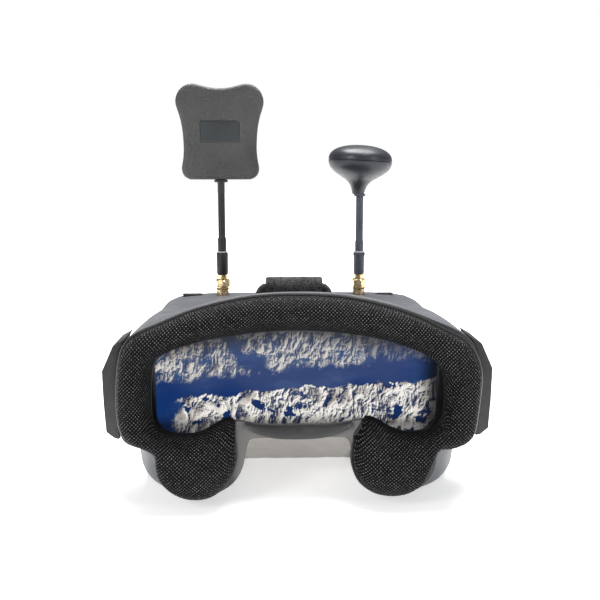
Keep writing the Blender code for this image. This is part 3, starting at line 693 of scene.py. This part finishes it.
def blend_at(station, y, start):
    """How far a station's section has gone from the face's outline to the box's."""
    if station <= 7:
        crown = smooth(*CROWN_Y, y)
        shoulder = ((y - start) / (SPLIT_Y - start)) ** 2
        return crown + (shoulder - crown) * SHOULDER[station]
    if station <= 11:
        return 1 - math.exp(-(y - start) / 40)
    if station <= 18:
        return 1 - math.exp(-(y - start) / 12)
    return min(1.0, (y - start) / (NOSE_END_Y - start))


def shroud_ring(t):
    half = []
    for station, (face, box) in enumerate(zip(OUTER, BOX)):
        start = face_y(*face) + PLATE + 0.9
        y = start + (SPLIT_Y - GAP - start) * t
        x, z = between(face, box, blend_at(station, y, start))
        half.append((x, y, z))
    return whole_outline(half, 3)


def make_shell():
    rings = [shroud_ring(k / 60) for k in range(61)]
    mesh = loft("shroud_body", rings, sharp=50)
    # The nose channel's ceiling and walls are painted paler: painted light
    centre = len(rings[0]) / 2
    painted_light_share = []
    for ring in rings:
        for j, p in enumerate(ring):
            is_under = abs(j - centre) > centre * 0.75
            painted_light_share.append(1 - smooth(25.2, 27.0, abs(p[0])) if is_under else 0.0)
    point_values(mesh, "inner", painted_light_share)
    shell = add(mesh, "shroud", SHELL, ["shroud_shell"])
    solid = shell.modifiers.new("wall", "SOLIDIFY")
    solid.thickness = WALL * MM
    solid.offset = -1


def make_face_frame():
    """The face plate with small round edges."""
    outer, inner = whole_outline(OUTER, 4), whole_outline(OPENING, 4)
    edge, rim = 0.012, 0.9  # shares of the way from the outer outline to the opening
    profile = (
        (0, -0.5), (edge, -0.1), (edge * 3, 0), (0.5, 0), (rim - edge * 3, 0), (rim - edge, -0.1),
        (rim, -0.5), (rim, -PLATE), (0.5, -PLATE), (0, -PLATE),
    )
    rings = []
    for share, lift in profile:
        rings.append([on_face(between(o, i, share), lift) for o, i in zip(outer, inner)])
    mesh = loft("face_frame", rings, hoop=True)
    # The bar and walls round the nose are painted paler: painted light
    painted_light_share = [1 - smooth(27.5, 30.5, abs(p[0])) if p[2] < TOP_Z / 2 else 0.0 for ring in rings for p in ring]
    point_values(mesh, "inner", painted_light_share)
    add(mesh, "shroud", FACE, ["face_plate"])


def crease(x, z):
    """How far the pad's cover is drawn in at the corner between the temple and the cheek."""
    a, b = Vector((64.2, 24.5)), Vector((57.5, 32.5))
    p = Vector((abs(x), z))
    t = min(1.0, max(0.0, (p - a).dot(b - a) / (b - a).length_squared))
    off = (p - a.lerp(b, t)).length
    return 2.6 * math.exp(-((off / 1.5) ** 2)) * (1 - 0.75 * t)


def even(line, count, marks, which):
    """Points along a line at shares of its length that are eased between pairs of matching marks."""
    runs = [0.0]
    for a, b in zip(line, line[1:]):
        runs.append(runs[-1] + (b - a).length)
    out = []
    k = 0
    for i in range(count):
        t = i / (count - 1)
        low = max(m for m in range(len(marks) - 1) if marks[m][0] <= t)
        part = (t - marks[low][0]) / (marks[low + 1][0] - marks[low][0])
        share = marks[low][which] + (marks[low + 1][which] - marks[low][which]) * part
        want = share * runs[-1]
        while k < len(line) - 2 and runs[k + 1] < want:
            k += 1
        step = max(1e-9, runs[k + 1] - runs[k])
        out.append(line[k].lerp(line[k + 1], min(1.0, (want - runs[k]) / step)))
    return out


def pad_lines():
    """The pad's outer and inner edges, each from its left end to its right end."""
    outer = spline(TEMPLE_LEFT[::-1] + BROW_LEFT + BROW_RIGHT + TEMPLE_RIGHT, 10)
    cheek = OPENING[13:23] + (PAD_OPENING_END,)
    cheek_left = tuple((-x, z) for x, z in cheek[::-1])
    inner = spline(cheek_left + INNER_LEFT + INNER_RIGHT + cheek, 10)
    # Both edges get the same number of points, in step at the ends, the cheeks' corners and the middle
    count = 181
    marks = ((0.0, 0.0), (0.155, 0.13), (0.5, 0.5), (0.845, 0.87), (1.0, 1.0))
    return even(outer, count, marks, 0), even(inner, count, marks, 1)


def make_pad():
    """The foam pad in its air-mesh cover, with piping and stitches along its outer edge."""
    outer, inner = pad_lines()
    section = spline(PAD_SECTION, 4)
    count = len(outer)
    ends = 9
    rows, flats, zones = [], [], []
    for i, (o, n) in enumerate(zip(outer, inner)):
        from_end = min(i, count - 1 - i)
        full = 1.0 if from_end >= ends else math.sqrt(1 - (1 - from_end / ends) ** 2 * 0.82)
        row, zone = [], []
        for share, lift in section:
            x, z = between(o, n, share)
            puff = noise.noise(Vector((x / 15, z / 15, 2.0))) * 0.7
            puff += noise.noise(Vector((x / 5, z / 5, 7.0))) * 0.22
            body = smooth(0.1, 0.8, lift)
            high = max(TAPE, PAD * lift * full + (puff - crease(x, z)) * body)
            row.append(on_face((x, z), high))
            # Where the cloth is darker and weaveless: the inner edge, and the brow's inner wall, partly
            # painted shade
            brow = smooth(66, 74, z) * smooth(0.55, 0.8, share)
            zone.append(max(brow * 0.8, smooth(0.93, 1.0, share)))
        rows.append(row)
        zones.append(zone)
        # The cover is wrapped over the foam: its weave keeps its pitch across the strip
        middle = min(range(len(section)), key=lambda k: abs(section[k][0] - 0.5))
        way = (Vector(o) - Vector(n)).normalized()
        run = [0.0] * len(row)
        for k in range(middle - 1, -1, -1):
            run[k] = run[k + 1] + (Vector(row[k]) - Vector(row[k + 1])).length
        for k in range(middle + 1, len(row)):
            run[k] = run[k - 1] - (Vector(row[k]) - Vector(row[k - 1])).length
        centre = Vector(between(o, n, section[middle][0]))
        flats.append([tuple(centre + way * r) for r in run])
    width = len(section)
    mesh = loft("face_cushion", rows, caps=True, uv=lambda i, j: flats[i][min(j, width - 1)], sharp=60)
    point_values(mesh, "weaveless_shaded_zone", [z for zone in zones for z in zone])
    pad = add(mesh, "shroud", MESH, ["face_pad"])

    edge = [on_face(between(o, n, PIPING_AT[0]), PAD * PIPING_AT[1]) for o, n in zip(outer, inner)]
    add(tube("face_cushion_piping", edge, 0.8, 8), "shroud", PIPING, ())
    make_stitches(outer, inner)


def make_stitches(outer, inner):
    """Short stitches beside the piping."""
    pitch, length, width = 2.6, 1.25, 0.42
    share, lift = STITCHES_AT
    line = [Vector(on_face(between(o, n, share), PAD * lift)) for o, n in zip(outer, inner)]
    bm = bmesh.new()
    travelled, due = 0.0, pitch
    for a, b in zip(line, line[1:]):
        step = (b - a).length
        while travelled + step >= due:
            centre = a.lerp(b, (due - travelled) / step)
            way = (b - a).normalized()
            turn = Vector((1, 0, 0)).rotation_difference(way).to_matrix().to_4x4()
            made = bmesh.ops.create_icosphere(bm, subdivisions=1, radius=0.5 * MM)
            flat = Matrix.Diagonal((length, width, width, 1))
            at = Matrix.Translation(spot(centre))
            bmesh.ops.transform(bm, matrix=at @ turn @ flat, verts=made["verts"])
            due += pitch
        travelled += step
    mesh = mesh_from(bm, "face_cushion_stitches")
    mesh.shade_smooth()
    mesh.uv_layers.new(name="UVMap")
    add(mesh, "shroud", THREAD, ())


def make_nose_lip():
    top = spline(both_sides([(0, 30.2), (10, 31), (18, 32.8), (24.2, 35)]), 6)
    low = spline(both_sides([(0, 23.9), (9, 24.9), (17, 27.9), (23.4, 32.2)]), 6)
    rim = (
        (0, 0.9), (-0.02, 1.6), (0.05, 2.3), (0.25, 2.9), (0.5, 3.1), (0.78, 2.8), (0.96, 2.1),
        (1.02, 1.5), (1, 0.9),
    )
    rows = [[on_face(between(a, b, share), lift) for share, lift in rim] for a, b in zip(top, low)]
    add(loft("nose_lip", rows, caps=True), "shroud", LIP, ["nose_flap"])


def make_lens():
    keep("fresnel_lens", VIEW)
    keep("lens_frame", BLACK, 0.5)


def make_bridge():
    """The bar of the top strap's bridge, with a fuzzy sleeve at each end."""
    half = [(0, 0), (10, -0.1), (15.6, -1), (18.4, -4), (19.2, TOP_Z + 0.5 - BRIDGE_Z)]
    path = spline(both_sides([(x, BRIDGE_Y, BRIDGE_Z + z) for x, z in half]), 6)
    add(tube("bridge_bar", path, 2.4, 16), "shroud", CASE_DARK, ["strap_bridge"])
    for label, way in (("left", -1), ("right", 1)):
        part = [p for p in path if p.x * way > LOOP_LENGTH / 2]
        add(tube("bridge_sleeve_" + label, part, 2.6, 20), "shroud", WEBBING, ())


def make_strap_loop():
    """The top strap's webbing round the bar. It can swing without touching the bar."""
    steps, sides = 34, 40
    across, upright = 3.8, 3.9  # the bore's radii
    outside, inside = [], []
    for i in range(steps + 1):
        x = -LOOP_LENGTH / 2 + LOOP_LENGTH * i / steps
        from_end = min(i, steps - i)
        thick = 1.6 * math.sqrt(1 - (1 - min(1.0, (from_end + 0.6) / 2.2)) ** 2)
        for grow, fluffy, rings in ((0.0, 0.05, inside), (thick, 0.22, outside)):
            ring = []
            for k in range(sides):
                a = 2 * math.pi * k / sides
                fluff = noise.noise(Vector((x / 2.2, 3 * math.cos(a), 3 * math.sin(a)))) * fluffy
                y = BRIDGE_Y + (across + grow + fluff) * math.cos(a)
                z = BRIDGE_Z - LOOP_DROP + (upright + grow + fluff) * math.sin(a)
                ring.append((x, y, z))
            rings.append(ring)
    mesh = loft("webbing_loop", outside + inside[::-1], hoop=True, sharp=50)
    add(mesh, "strap_loop", WEBBING, ["top_strap_loop"])


make_shell()
make_face_frame()
make_pad()
make_nose_lip()
make_lens()
make_bridge()
make_strap_loop()
for side in ("left", "right"):
    keep("strap_lug_" + side, CASE_DARK, 0.5)


# ---------------------------------------------------------------- module

for look, soft, names in (
    (CASE, 0, "module_rear_case module_front_case"),
    (RUBBER, 0, "light_seal pigtail_left pigtail_right buzzer"),
    (SCREEN, 0, "display_panel"),
    (BOARD, 0, "main_board key_board"),
    (STEEL, 0.2, "backlight_unit receiver_can_left receiver_can_right switch_body usb_port card_socket"),
    (CELL, 0, "battery"),
    (BLACK, 0.15, "earphone_jack video_jack power_jack switch_slider memory_card"),
    (BRASS, 0.15, "tripod_insert"),
):
    for node_name in names.split():
        keep(node_name, look, soft)


def make_keys():
    """Round keys with a dished top and a fine ring."""
    for name in ("channel", "band", "search", "menu", "record"):
        node_name = "button_" + name
        low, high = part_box(node_name)
        centre = (low + high) / 2
        top = (high.x - low.x) / MM
        profile = [
            (0.05, top - 1.0), (0.9, top - 0.95), (1.7, top - 0.75), (2.2, top - 0.35), (2.45, top - 0.1),
            (2.7, top - 0.12), (2.92, top - 0.35), (3.0, top - 0.75), (3.0, 2.3), (4, 2.2), (4, 1.05),
            (3.6, 0.9), (0.05, 0.4),
        ]

        def place(p, low=low, centre=centre):
            return Vector((low.x + p[2] * MM, centre.y + p[0] * MM, centre.z + p[1] * MM))

        mesh = revolve(node_name + "_key", profile, 40, place)
        add(mesh, "key_" + name, BLACK, [node_name])


def make_screws():
    """Pan heads with a cross recess."""
    profile = [
        (0.05, 0), (1.2, -0.02), (1.9, -0.12), (2.25, -0.32), (2.35, -0.6), (2.35, -1.2), (1.1, -1.25),
        (1.1, -13.6), (0.05, -14.4),
    ]
    turn = Matrix.Rotation(math.radians(20), 4, "Y")
    for corner in ("left_low", "left_top", "right_low", "right_top"):
        node_name = "case_screw_" + corner
        low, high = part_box(node_name)
        centre = (low + high) / 2
        top = high.y

        def place(p, centre=centre, top=top):
            return Vector((centre.x + p[0] * MM, top + p[2] * MM, centre.z + p[1] * MM))

        screw = add(revolve(node_name + "_head", profile, 32, place), "module", STEEL, [node_name])
        at = Matrix.Translation((centre.x, top - 0.1 * MM, centre.z))
        for k, size in enumerate(((0.6, 1.6, 2.6), (2.6, 1.6, 0.6))):
            bm = bmesh.new()
            bmesh.ops.create_cube(bm, size=1)
            scale = Matrix.Diagonal((*[s * MM for s in size], 1))
            bmesh.ops.transform(bm, matrix=at @ turn @ scale, verts=bm.verts)
            cutter_mesh = mesh_from(bm, f"cut_{node_name}_{k}")
            cutter = placed(cutter_mesh.name, cutter_mesh)
            cutter.hide_render = True
            cutter.hide_viewport = True
            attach(cutter, "module")
            cut = screw.modifiers.new("slot", "BOOLEAN")
            cut.object = cutter
            cut.solver = "EXACT"


def make_shade_liners():
    """Black liners in the slots on the module's top, painted shade inside them, and a thin black rim round
    each.
    """
    inset = -0.12
    profile = (
        (inset, 69), (inset, TOP_Z - 0.3), (inset, TOP_Z + 0.02), (0.55, TOP_Z + 0.12), (0.7, TOP_Z + 0.02),
        (0.7, TOP_Z - 0.2), (0.02, TOP_Z - 0.3), (0.02, 69),
    )
    for name, low_x, high_x, low_y, high_y in (
        ("switch", -64.4, -53.8, 62.6, 66.6), ("charge", 50.2, 59.2, 62.6, 66.4),
    ):
        half_x, middle = (high_x - low_x) / 2, (low_x + high_x) / 2
        rows = []
        for grow, z in profile:
            corner = 0.35 + max(0.0, grow)
            outline = round_box(half_x + grow, low_y - grow, high_y + grow, corner, 3)
            rows.append([(x + middle, y, z) for x, y in outline])
        add(loft(name + "_shade_liner", rows, hoop=True), "module", SHADE_LINER, ())
    # The earphone socket's hole gets a black liner of painted shade too, with its rim
    ring = [(3.02, 72), (3.02, TOP_Z + 0.1), (3.7, TOP_Z + 0.14), (3.9, TOP_Z), (3.9, TOP_Z - 0.1), (3.4, 72)]
    mesh = revolve("earphone_rim", ring, 32, at=(26, 64, 0), hoop=True)
    add(mesh, "module", SHADE_LINER, ())


make_keys()
make_screws()
make_shade_liners()


# ---------------------------------------------------------------- antennas


def thread_profile(radius, depth, low, high, pitch):
    """A run of thread, drawn as fine rings, from its top down."""
    out = []
    for k in range(int((high - low) / pitch)):
        z = high - k * pitch
        out += [(radius - depth, z), (radius, z - pitch * 0.35), (radius, z - pitch * 0.5)]
        out.append((radius - depth, z - pitch * 0.85))
    return out


def make_connector(x, label, side):
    """A gold jack, its hexagon nut and the collar above it."""
    jack = [(0.05, 84), (2.9, 84)] + thread_profile(3.15, 0.22, 79.2, 83.8, 0.62)
    jack += [
        (2.95, 79), (2.95, 78.7), (3.65, 78.5), (3.65, 75.9), (3.1, 75.7), (3.1, 72.6), (4.3, 72.5),
        (4.3, 70.6), (2.2, 70.4), (2.2, 69.4), (0.05, 69.4),
    ]
    mesh = revolve(label + "_jack", jack, 48, at=(x, JACK_Y, 0))
    add(mesh, "module", GOLD, ["antenna_jack_" + side])

    # The nut at its levels: a hexagon whose corners reach no further than given above, a round skirt below
    bore, flats = 3.35, 4.0
    low, high = 78.8, 84.5
    nut_turn = math.radians(14)
    circle = [2 * math.pi * k / 72 for k in range(72)]
    levels = []
    for z, reach in (
        (low, 3.62), (79.0, 3.85), (79.5, 3.95), (79.7, 3.6), (79.95, 3.6), (80.1, 3.95), (80.4, 3.95),
        (80.5, 4.12), (80.9, 4.52), (83.9, 4.52), (84.3, 4.12), (high, 3.75),
    ):
        ring = []
        for a in circle:
            from_flat = (a + math.pi / 6) % (math.pi / 3) - math.pi / 6
            r = min(flats / math.cos(from_flat), reach)
            ring.append((x + r * math.cos(a + nut_turn), JACK_Y + r * math.sin(a + nut_turn), z))
        levels.append(ring)
    for z in (high, low):
        levels.append([(x + bore * math.cos(a), JACK_Y + bore * math.sin(a), z) for a in circle])
    mesh = loft(label + "_hex_nut", levels, hoop=True, sharp=25)
    add(mesh, label + "_nut", GOLD, [label + "_antenna_nut"])

    collar = [
        (2.6, 87.5), (3.0, 87.3), (3.0, 86.3), (2.7, 86.1), (2.7, 85.8), (3.0, 85.6), (3.0, 84.9),
        (2.7, 84.6), (2.0, 84.45),
    ]
    mesh = revolve(label + "_collar", collar, 40, at=(x, JACK_Y, 0))
    add(mesh, label + "_antenna", GOLD, ())


def panel_outline(inset=0.0):
    """The panel's outline about its stem: two lobes above, a waist, and a flat lower edge."""
    half = [
        (0, 50.9), (5.8, 51.4), (10.2, 52.4), (14.9, 53.4), (19, 52.6), (22.4, 50), (24.4, 46.4),
        (24.8, 43), (24.1, 39.8), (22.5, 34.6), (21.2, 27.4), (20.7, 18), (21.1, 12), (22, 6.1),
        (20.9, 2.4), (18, 0.3), (14.5, 0), (8, 0), (0, 0),
    ]
    whole = whole_outline(half, 6)
    count = len(whole)
    out = []
    for k, p in enumerate(whole):
        run = (whole[(k + 1) % count] - whole[k - 1]).normalized()
        inward = Vector((run.y, -run.x))
        if inward.dot(Vector((0, 27)) - p) < 0:
            inward = -inward
        out.append(tuple(p + inward * inset))
    return out


def recess_rings(face, deep, lift):
    """Rings from the panel's flat face in to a shallow blank recess with round corners."""
    half_x, low, high, corner = 11.3, 20.8, 33.1, 1.5
    centre = Vector((0, (low + high) / 2))
    edge, floor = [], []
    for x, _, z in face:
        way = Vector((x, z - lift)) - centre
        edge.append(centre + to_round_box(way, half_x, (high - low) / 2, corner))
        floor.append(centre + to_round_box(way, half_x - 0.3, (high - low) / 2 - 0.3, corner - 0.2))
    out = []
    for line, depth, share in ((edge, 0, 1), (edge, 0.12, 1), (floor, 0.6, 1), (floor, 0.62, 0.9)):
        y = depth - deep
        out.append([(p.x * share, y, centre.y + (p.y - centre.y) * share + lift) for p in line])
    return out


def to_round_box(way, half_x, half_z, corner):
    """Where a ray from a box's middle crosses its outline, which has round corners."""
    step = way.normalized()
    low, high = 0.0, half_x + half_z
    for _ in range(30):
        reach = (low + high) / 2
        x, z = abs(step.x) * reach, abs(step.y) * reach
        off_x, off_z = max(0.0, x - half_x + corner), max(0.0, z - half_z + corner)
        if math.hypot(off_x, off_z) > corner:
            high = reach
        else:
            low = reach
    return step * low


def make_panel():
    hub = Matrix.Translation(spot((PANEL_X, JACK_Y, PIVOT_Z)))

    def place(p):
        return hub @ (Vector(p) * MM)

    lift = PANEL_Z - PIVOT_Z
    deep = 4.8
    rim = (
        (3.0, 0.15), (0.35, 0.15), (0, 0.5), (0, 2.9), (0.12, 3.6), (0.5, 4.2), (1.1, 4.6), (2.0, deep),
        (3.5, deep),
    )
    for name, node_name, way in (
        ("panel_back", "panel_rear_cover", -1), ("panel_front", "panel_front_cover", 1),
    ):
        rings = [[(x, way * off, z + lift) for x, z in panel_outline(inset)] for inset, off in rim]
        if way < 0:
            rings += recess_rings(rings[-1], deep, lift)
        mesh = loft(name, rings, caps=True, place=place, sharp=30)
        add(mesh, "panel_antenna", PANEL, [node_name])
    keep("panel_patch_board", BOARD)
    label = []
    for inset, off in ((0, deep - 0.59), (0, deep - 0.44), (0.12, deep - 0.40), (0.6, deep - 0.40)):
        outline = round_box(10.7 - inset, 21.4 + inset, 32.5 - inset, 1.2)
        label.append([(x, -off, z + lift) for x, z in outline])
    add(loft("panel_blank", label, caps=True, place=place), "panel_antenna", BLANK, ())

    stem = [
        (0.05, 142.55), (3.6, 142.5), (3.9, 142.2), (3.9, 141.3), (3.6, 141), (2.15, 140.9),
        (2.05, 140), (2.0, 109.2), (2.35, 108.6), (2.5, 108.1), (2.5, 100.4), (3.1, 100.3),
        (3.38, 99.8), (3.42, 98.9), (3.4, 88.6), (3.3, 87.9), (3.0, 87.5), (0.05, 87.5),
    ]
    mesh = revolve("panel_stem", [(r, z - PIVOT_Z) for r, z in stem], 40, place)
    add(mesh, "panel_antenna", SLEEVE, ["panel_antenna_stem"])
    ring = [(2.52, 101.1), (2.8, 101.15), (2.95, 100.9), (2.95, 100.5), (2.52, 100.3)]
    mesh = revolve("panel_stem_ring", [(r, z - PIVOT_Z) for r, z in ring], 40, place)
    add(mesh, "panel_antenna", RING, ())
    make_connector(PANEL_X, "panel", "left")


def make_mushroom():
    hub = Matrix.Translation(spot((MUSHROOM_X, JACK_Y, CAP_SEAM_Z))) @ Matrix.Rotation(CAP_TILT, 4, "Y")

    def place(p):
        return hub @ (Vector(p) * MM)

    rise, seam = 8.8, 0.15
    dome = []
    for k in range(25):
        a = math.radians(90 * k / 24)
        height = seam + (rise - seam) * max(0.0, math.cos(a)) ** 0.85
        dome.append((max(0.05, CAP_R * math.sin(a) ** 0.9), height))
    dome += [(CAP_R - 0.25, 0.0), (CAP_R - 1.6, 0.12), (0.05, 0.3)]
    mesh = revolve("mushroom_dome", dome, 96, place)
    add(mesh, "mushroom_antenna", SHINY, ["mushroom_cap_top"])
    bowl = [
        (CAP_R - 0.15, -0.12), (CAP_R, -0.5), (CAP_R - 0.4, -2.6), (16.6, -5), (13.8, -7.4), (10.3, -9.6),
        (7.5, -11.4), (5.4, -13.6), (4.2, -16), (3.6, -18.2), (3.45, -19.2),
    ]
    bowl = [(p.x, p.y) for p in spline(bowl, 5)]
    low = [(0.05, -1.4), (CAP_R - 1.8, -0.9)] + bowl + [(3.2, -19.4), (0.05, -19.4)]
    mesh = revolve("mushroom_bowl", low, 96, place)
    add(mesh, "mushroom_antenna", SHINY, ["mushroom_cap_bottom"])
    keep("mushroom_element", STEEL)

    at = (MUSHROOM_X, JACK_Y, 0)
    stem = [
        (0.05, 134.4), (3.3, 134.35), (3.4, 134.1), (3.4, 133.3), (3.2, 133), (2.2, 132.8), (2.15, 132),
        (2.15, 107.4), (2.3, 106.8), (2.42, 106.2), (2.42, 100.4), (3.2, 100.1), (3.45, 99.7),
        (3.5, 99.0), (3.5, 98.5), (3.2, 98.2), (3.12, 97.5), (3.12, 88.2), (3.0, 87.6), (0.05, 87.5),
    ]
    mesh = revolve("mushroom_stem", stem, 40, at=at)
    add(mesh, "mushroom_antenna", BLUE_SLEEVE, ["mushroom_antenna_stem"])
    ring = [(2.44, 101), (2.8, 101.05), (3.0, 100.8), (3.0, 100.3), (2.44, 100.15)]
    mesh = revolve("mushroom_stem_ring", ring, 40, at=at)
    add(mesh, "mushroom_antenna", RING, ())
    make_connector(MUSHROOM_X, "mushroom", "right")


make_panel()
make_mushroom()


# ---------------------------------------------------------------- stage


def area_light(name, at, target_z, size, power):
    """A soft light, aimed at a point of the centre line."""
    data = bpy.data.lights.new(name, "AREA")
    data.shape = "RECTANGLE"
    data.size, data.size_y = size
    data.energy = power
    lamp = placed(name, data)
    lamp.location = at
    lamp.rotation_euler = (Vector((0, 0, target_z)) - Vector(at)).to_track_quat("-Z", "Y").to_euler()


def make_stage():
    bm = bmesh.new()
    bmesh.ops.create_grid(bm, x_segments=8, y_segments=8, size=4)
    floor = placed("floor", mesh_from(bm, "floor"))
    floor.location.z = -0.0002
    mat, tree = new_material("pale_floor")
    where = object_point(tree)
    cloudy = noise_of(tree, where, 3, 3)
    far = length_of(tree, where)
    # The floor glows, dimmer near the middle and brighter further out: painted light that whitens it away
    # from the object
    shade(
        mat, Base_Color=mixed(tree, cloudy, grey(0.88), grey(0.92)), Roughness=0.9, Emission_Strength=1.0,
        Emission_Color=mixed(tree, ranged(tree, far, 0.12, 0.75), grey(0.5), grey(1.2)),
    )
    floor.data.materials.append(mat)

    # The world is white to the camera and lights the scene more dimly
    world = bpy.data.worlds.new("studio")
    bpy.context.scene.world = world
    world.use_nodes = True
    tree = world.node_tree
    seen = node(tree, "ShaderNodeLightPath").outputs["Is Camera Ray"]
    feed(tree, tree.nodes["Background"], {"i0": (1, 1, 1, 1), "i1": ranged(tree, seen, 0, 1, 0.36, 1.0)})
    area_light("overhead", (0.05, 0.15, 0.9), 0.06, (0.7, 0.5), power=17)
    area_light("front_left", (-0.75, -0.8, 0.65), 0.08, (0.4, 0.4), power=5)
    area_light("front_right", (0.8, -0.7, 0.5), 0.08, (0.4, 0.4), power=2.2)
    bpy.context.scene.view_settings.view_transform = "Standard"


def make_camera():
    data = bpy.data.cameras.new("camera")
    data.lens = 48.0
    data.sensor_width = 36.0
    camera = placed("camera", data)
    camera.location = (-0.0112, -0.405 + Y_SHIFT * MM, 0.15102)
    camera.rotation_euler = (math.radians(80.4), 0, math.radians(-1.92))
    bpy.context.scene.camera = camera


make_stage()
make_camera()
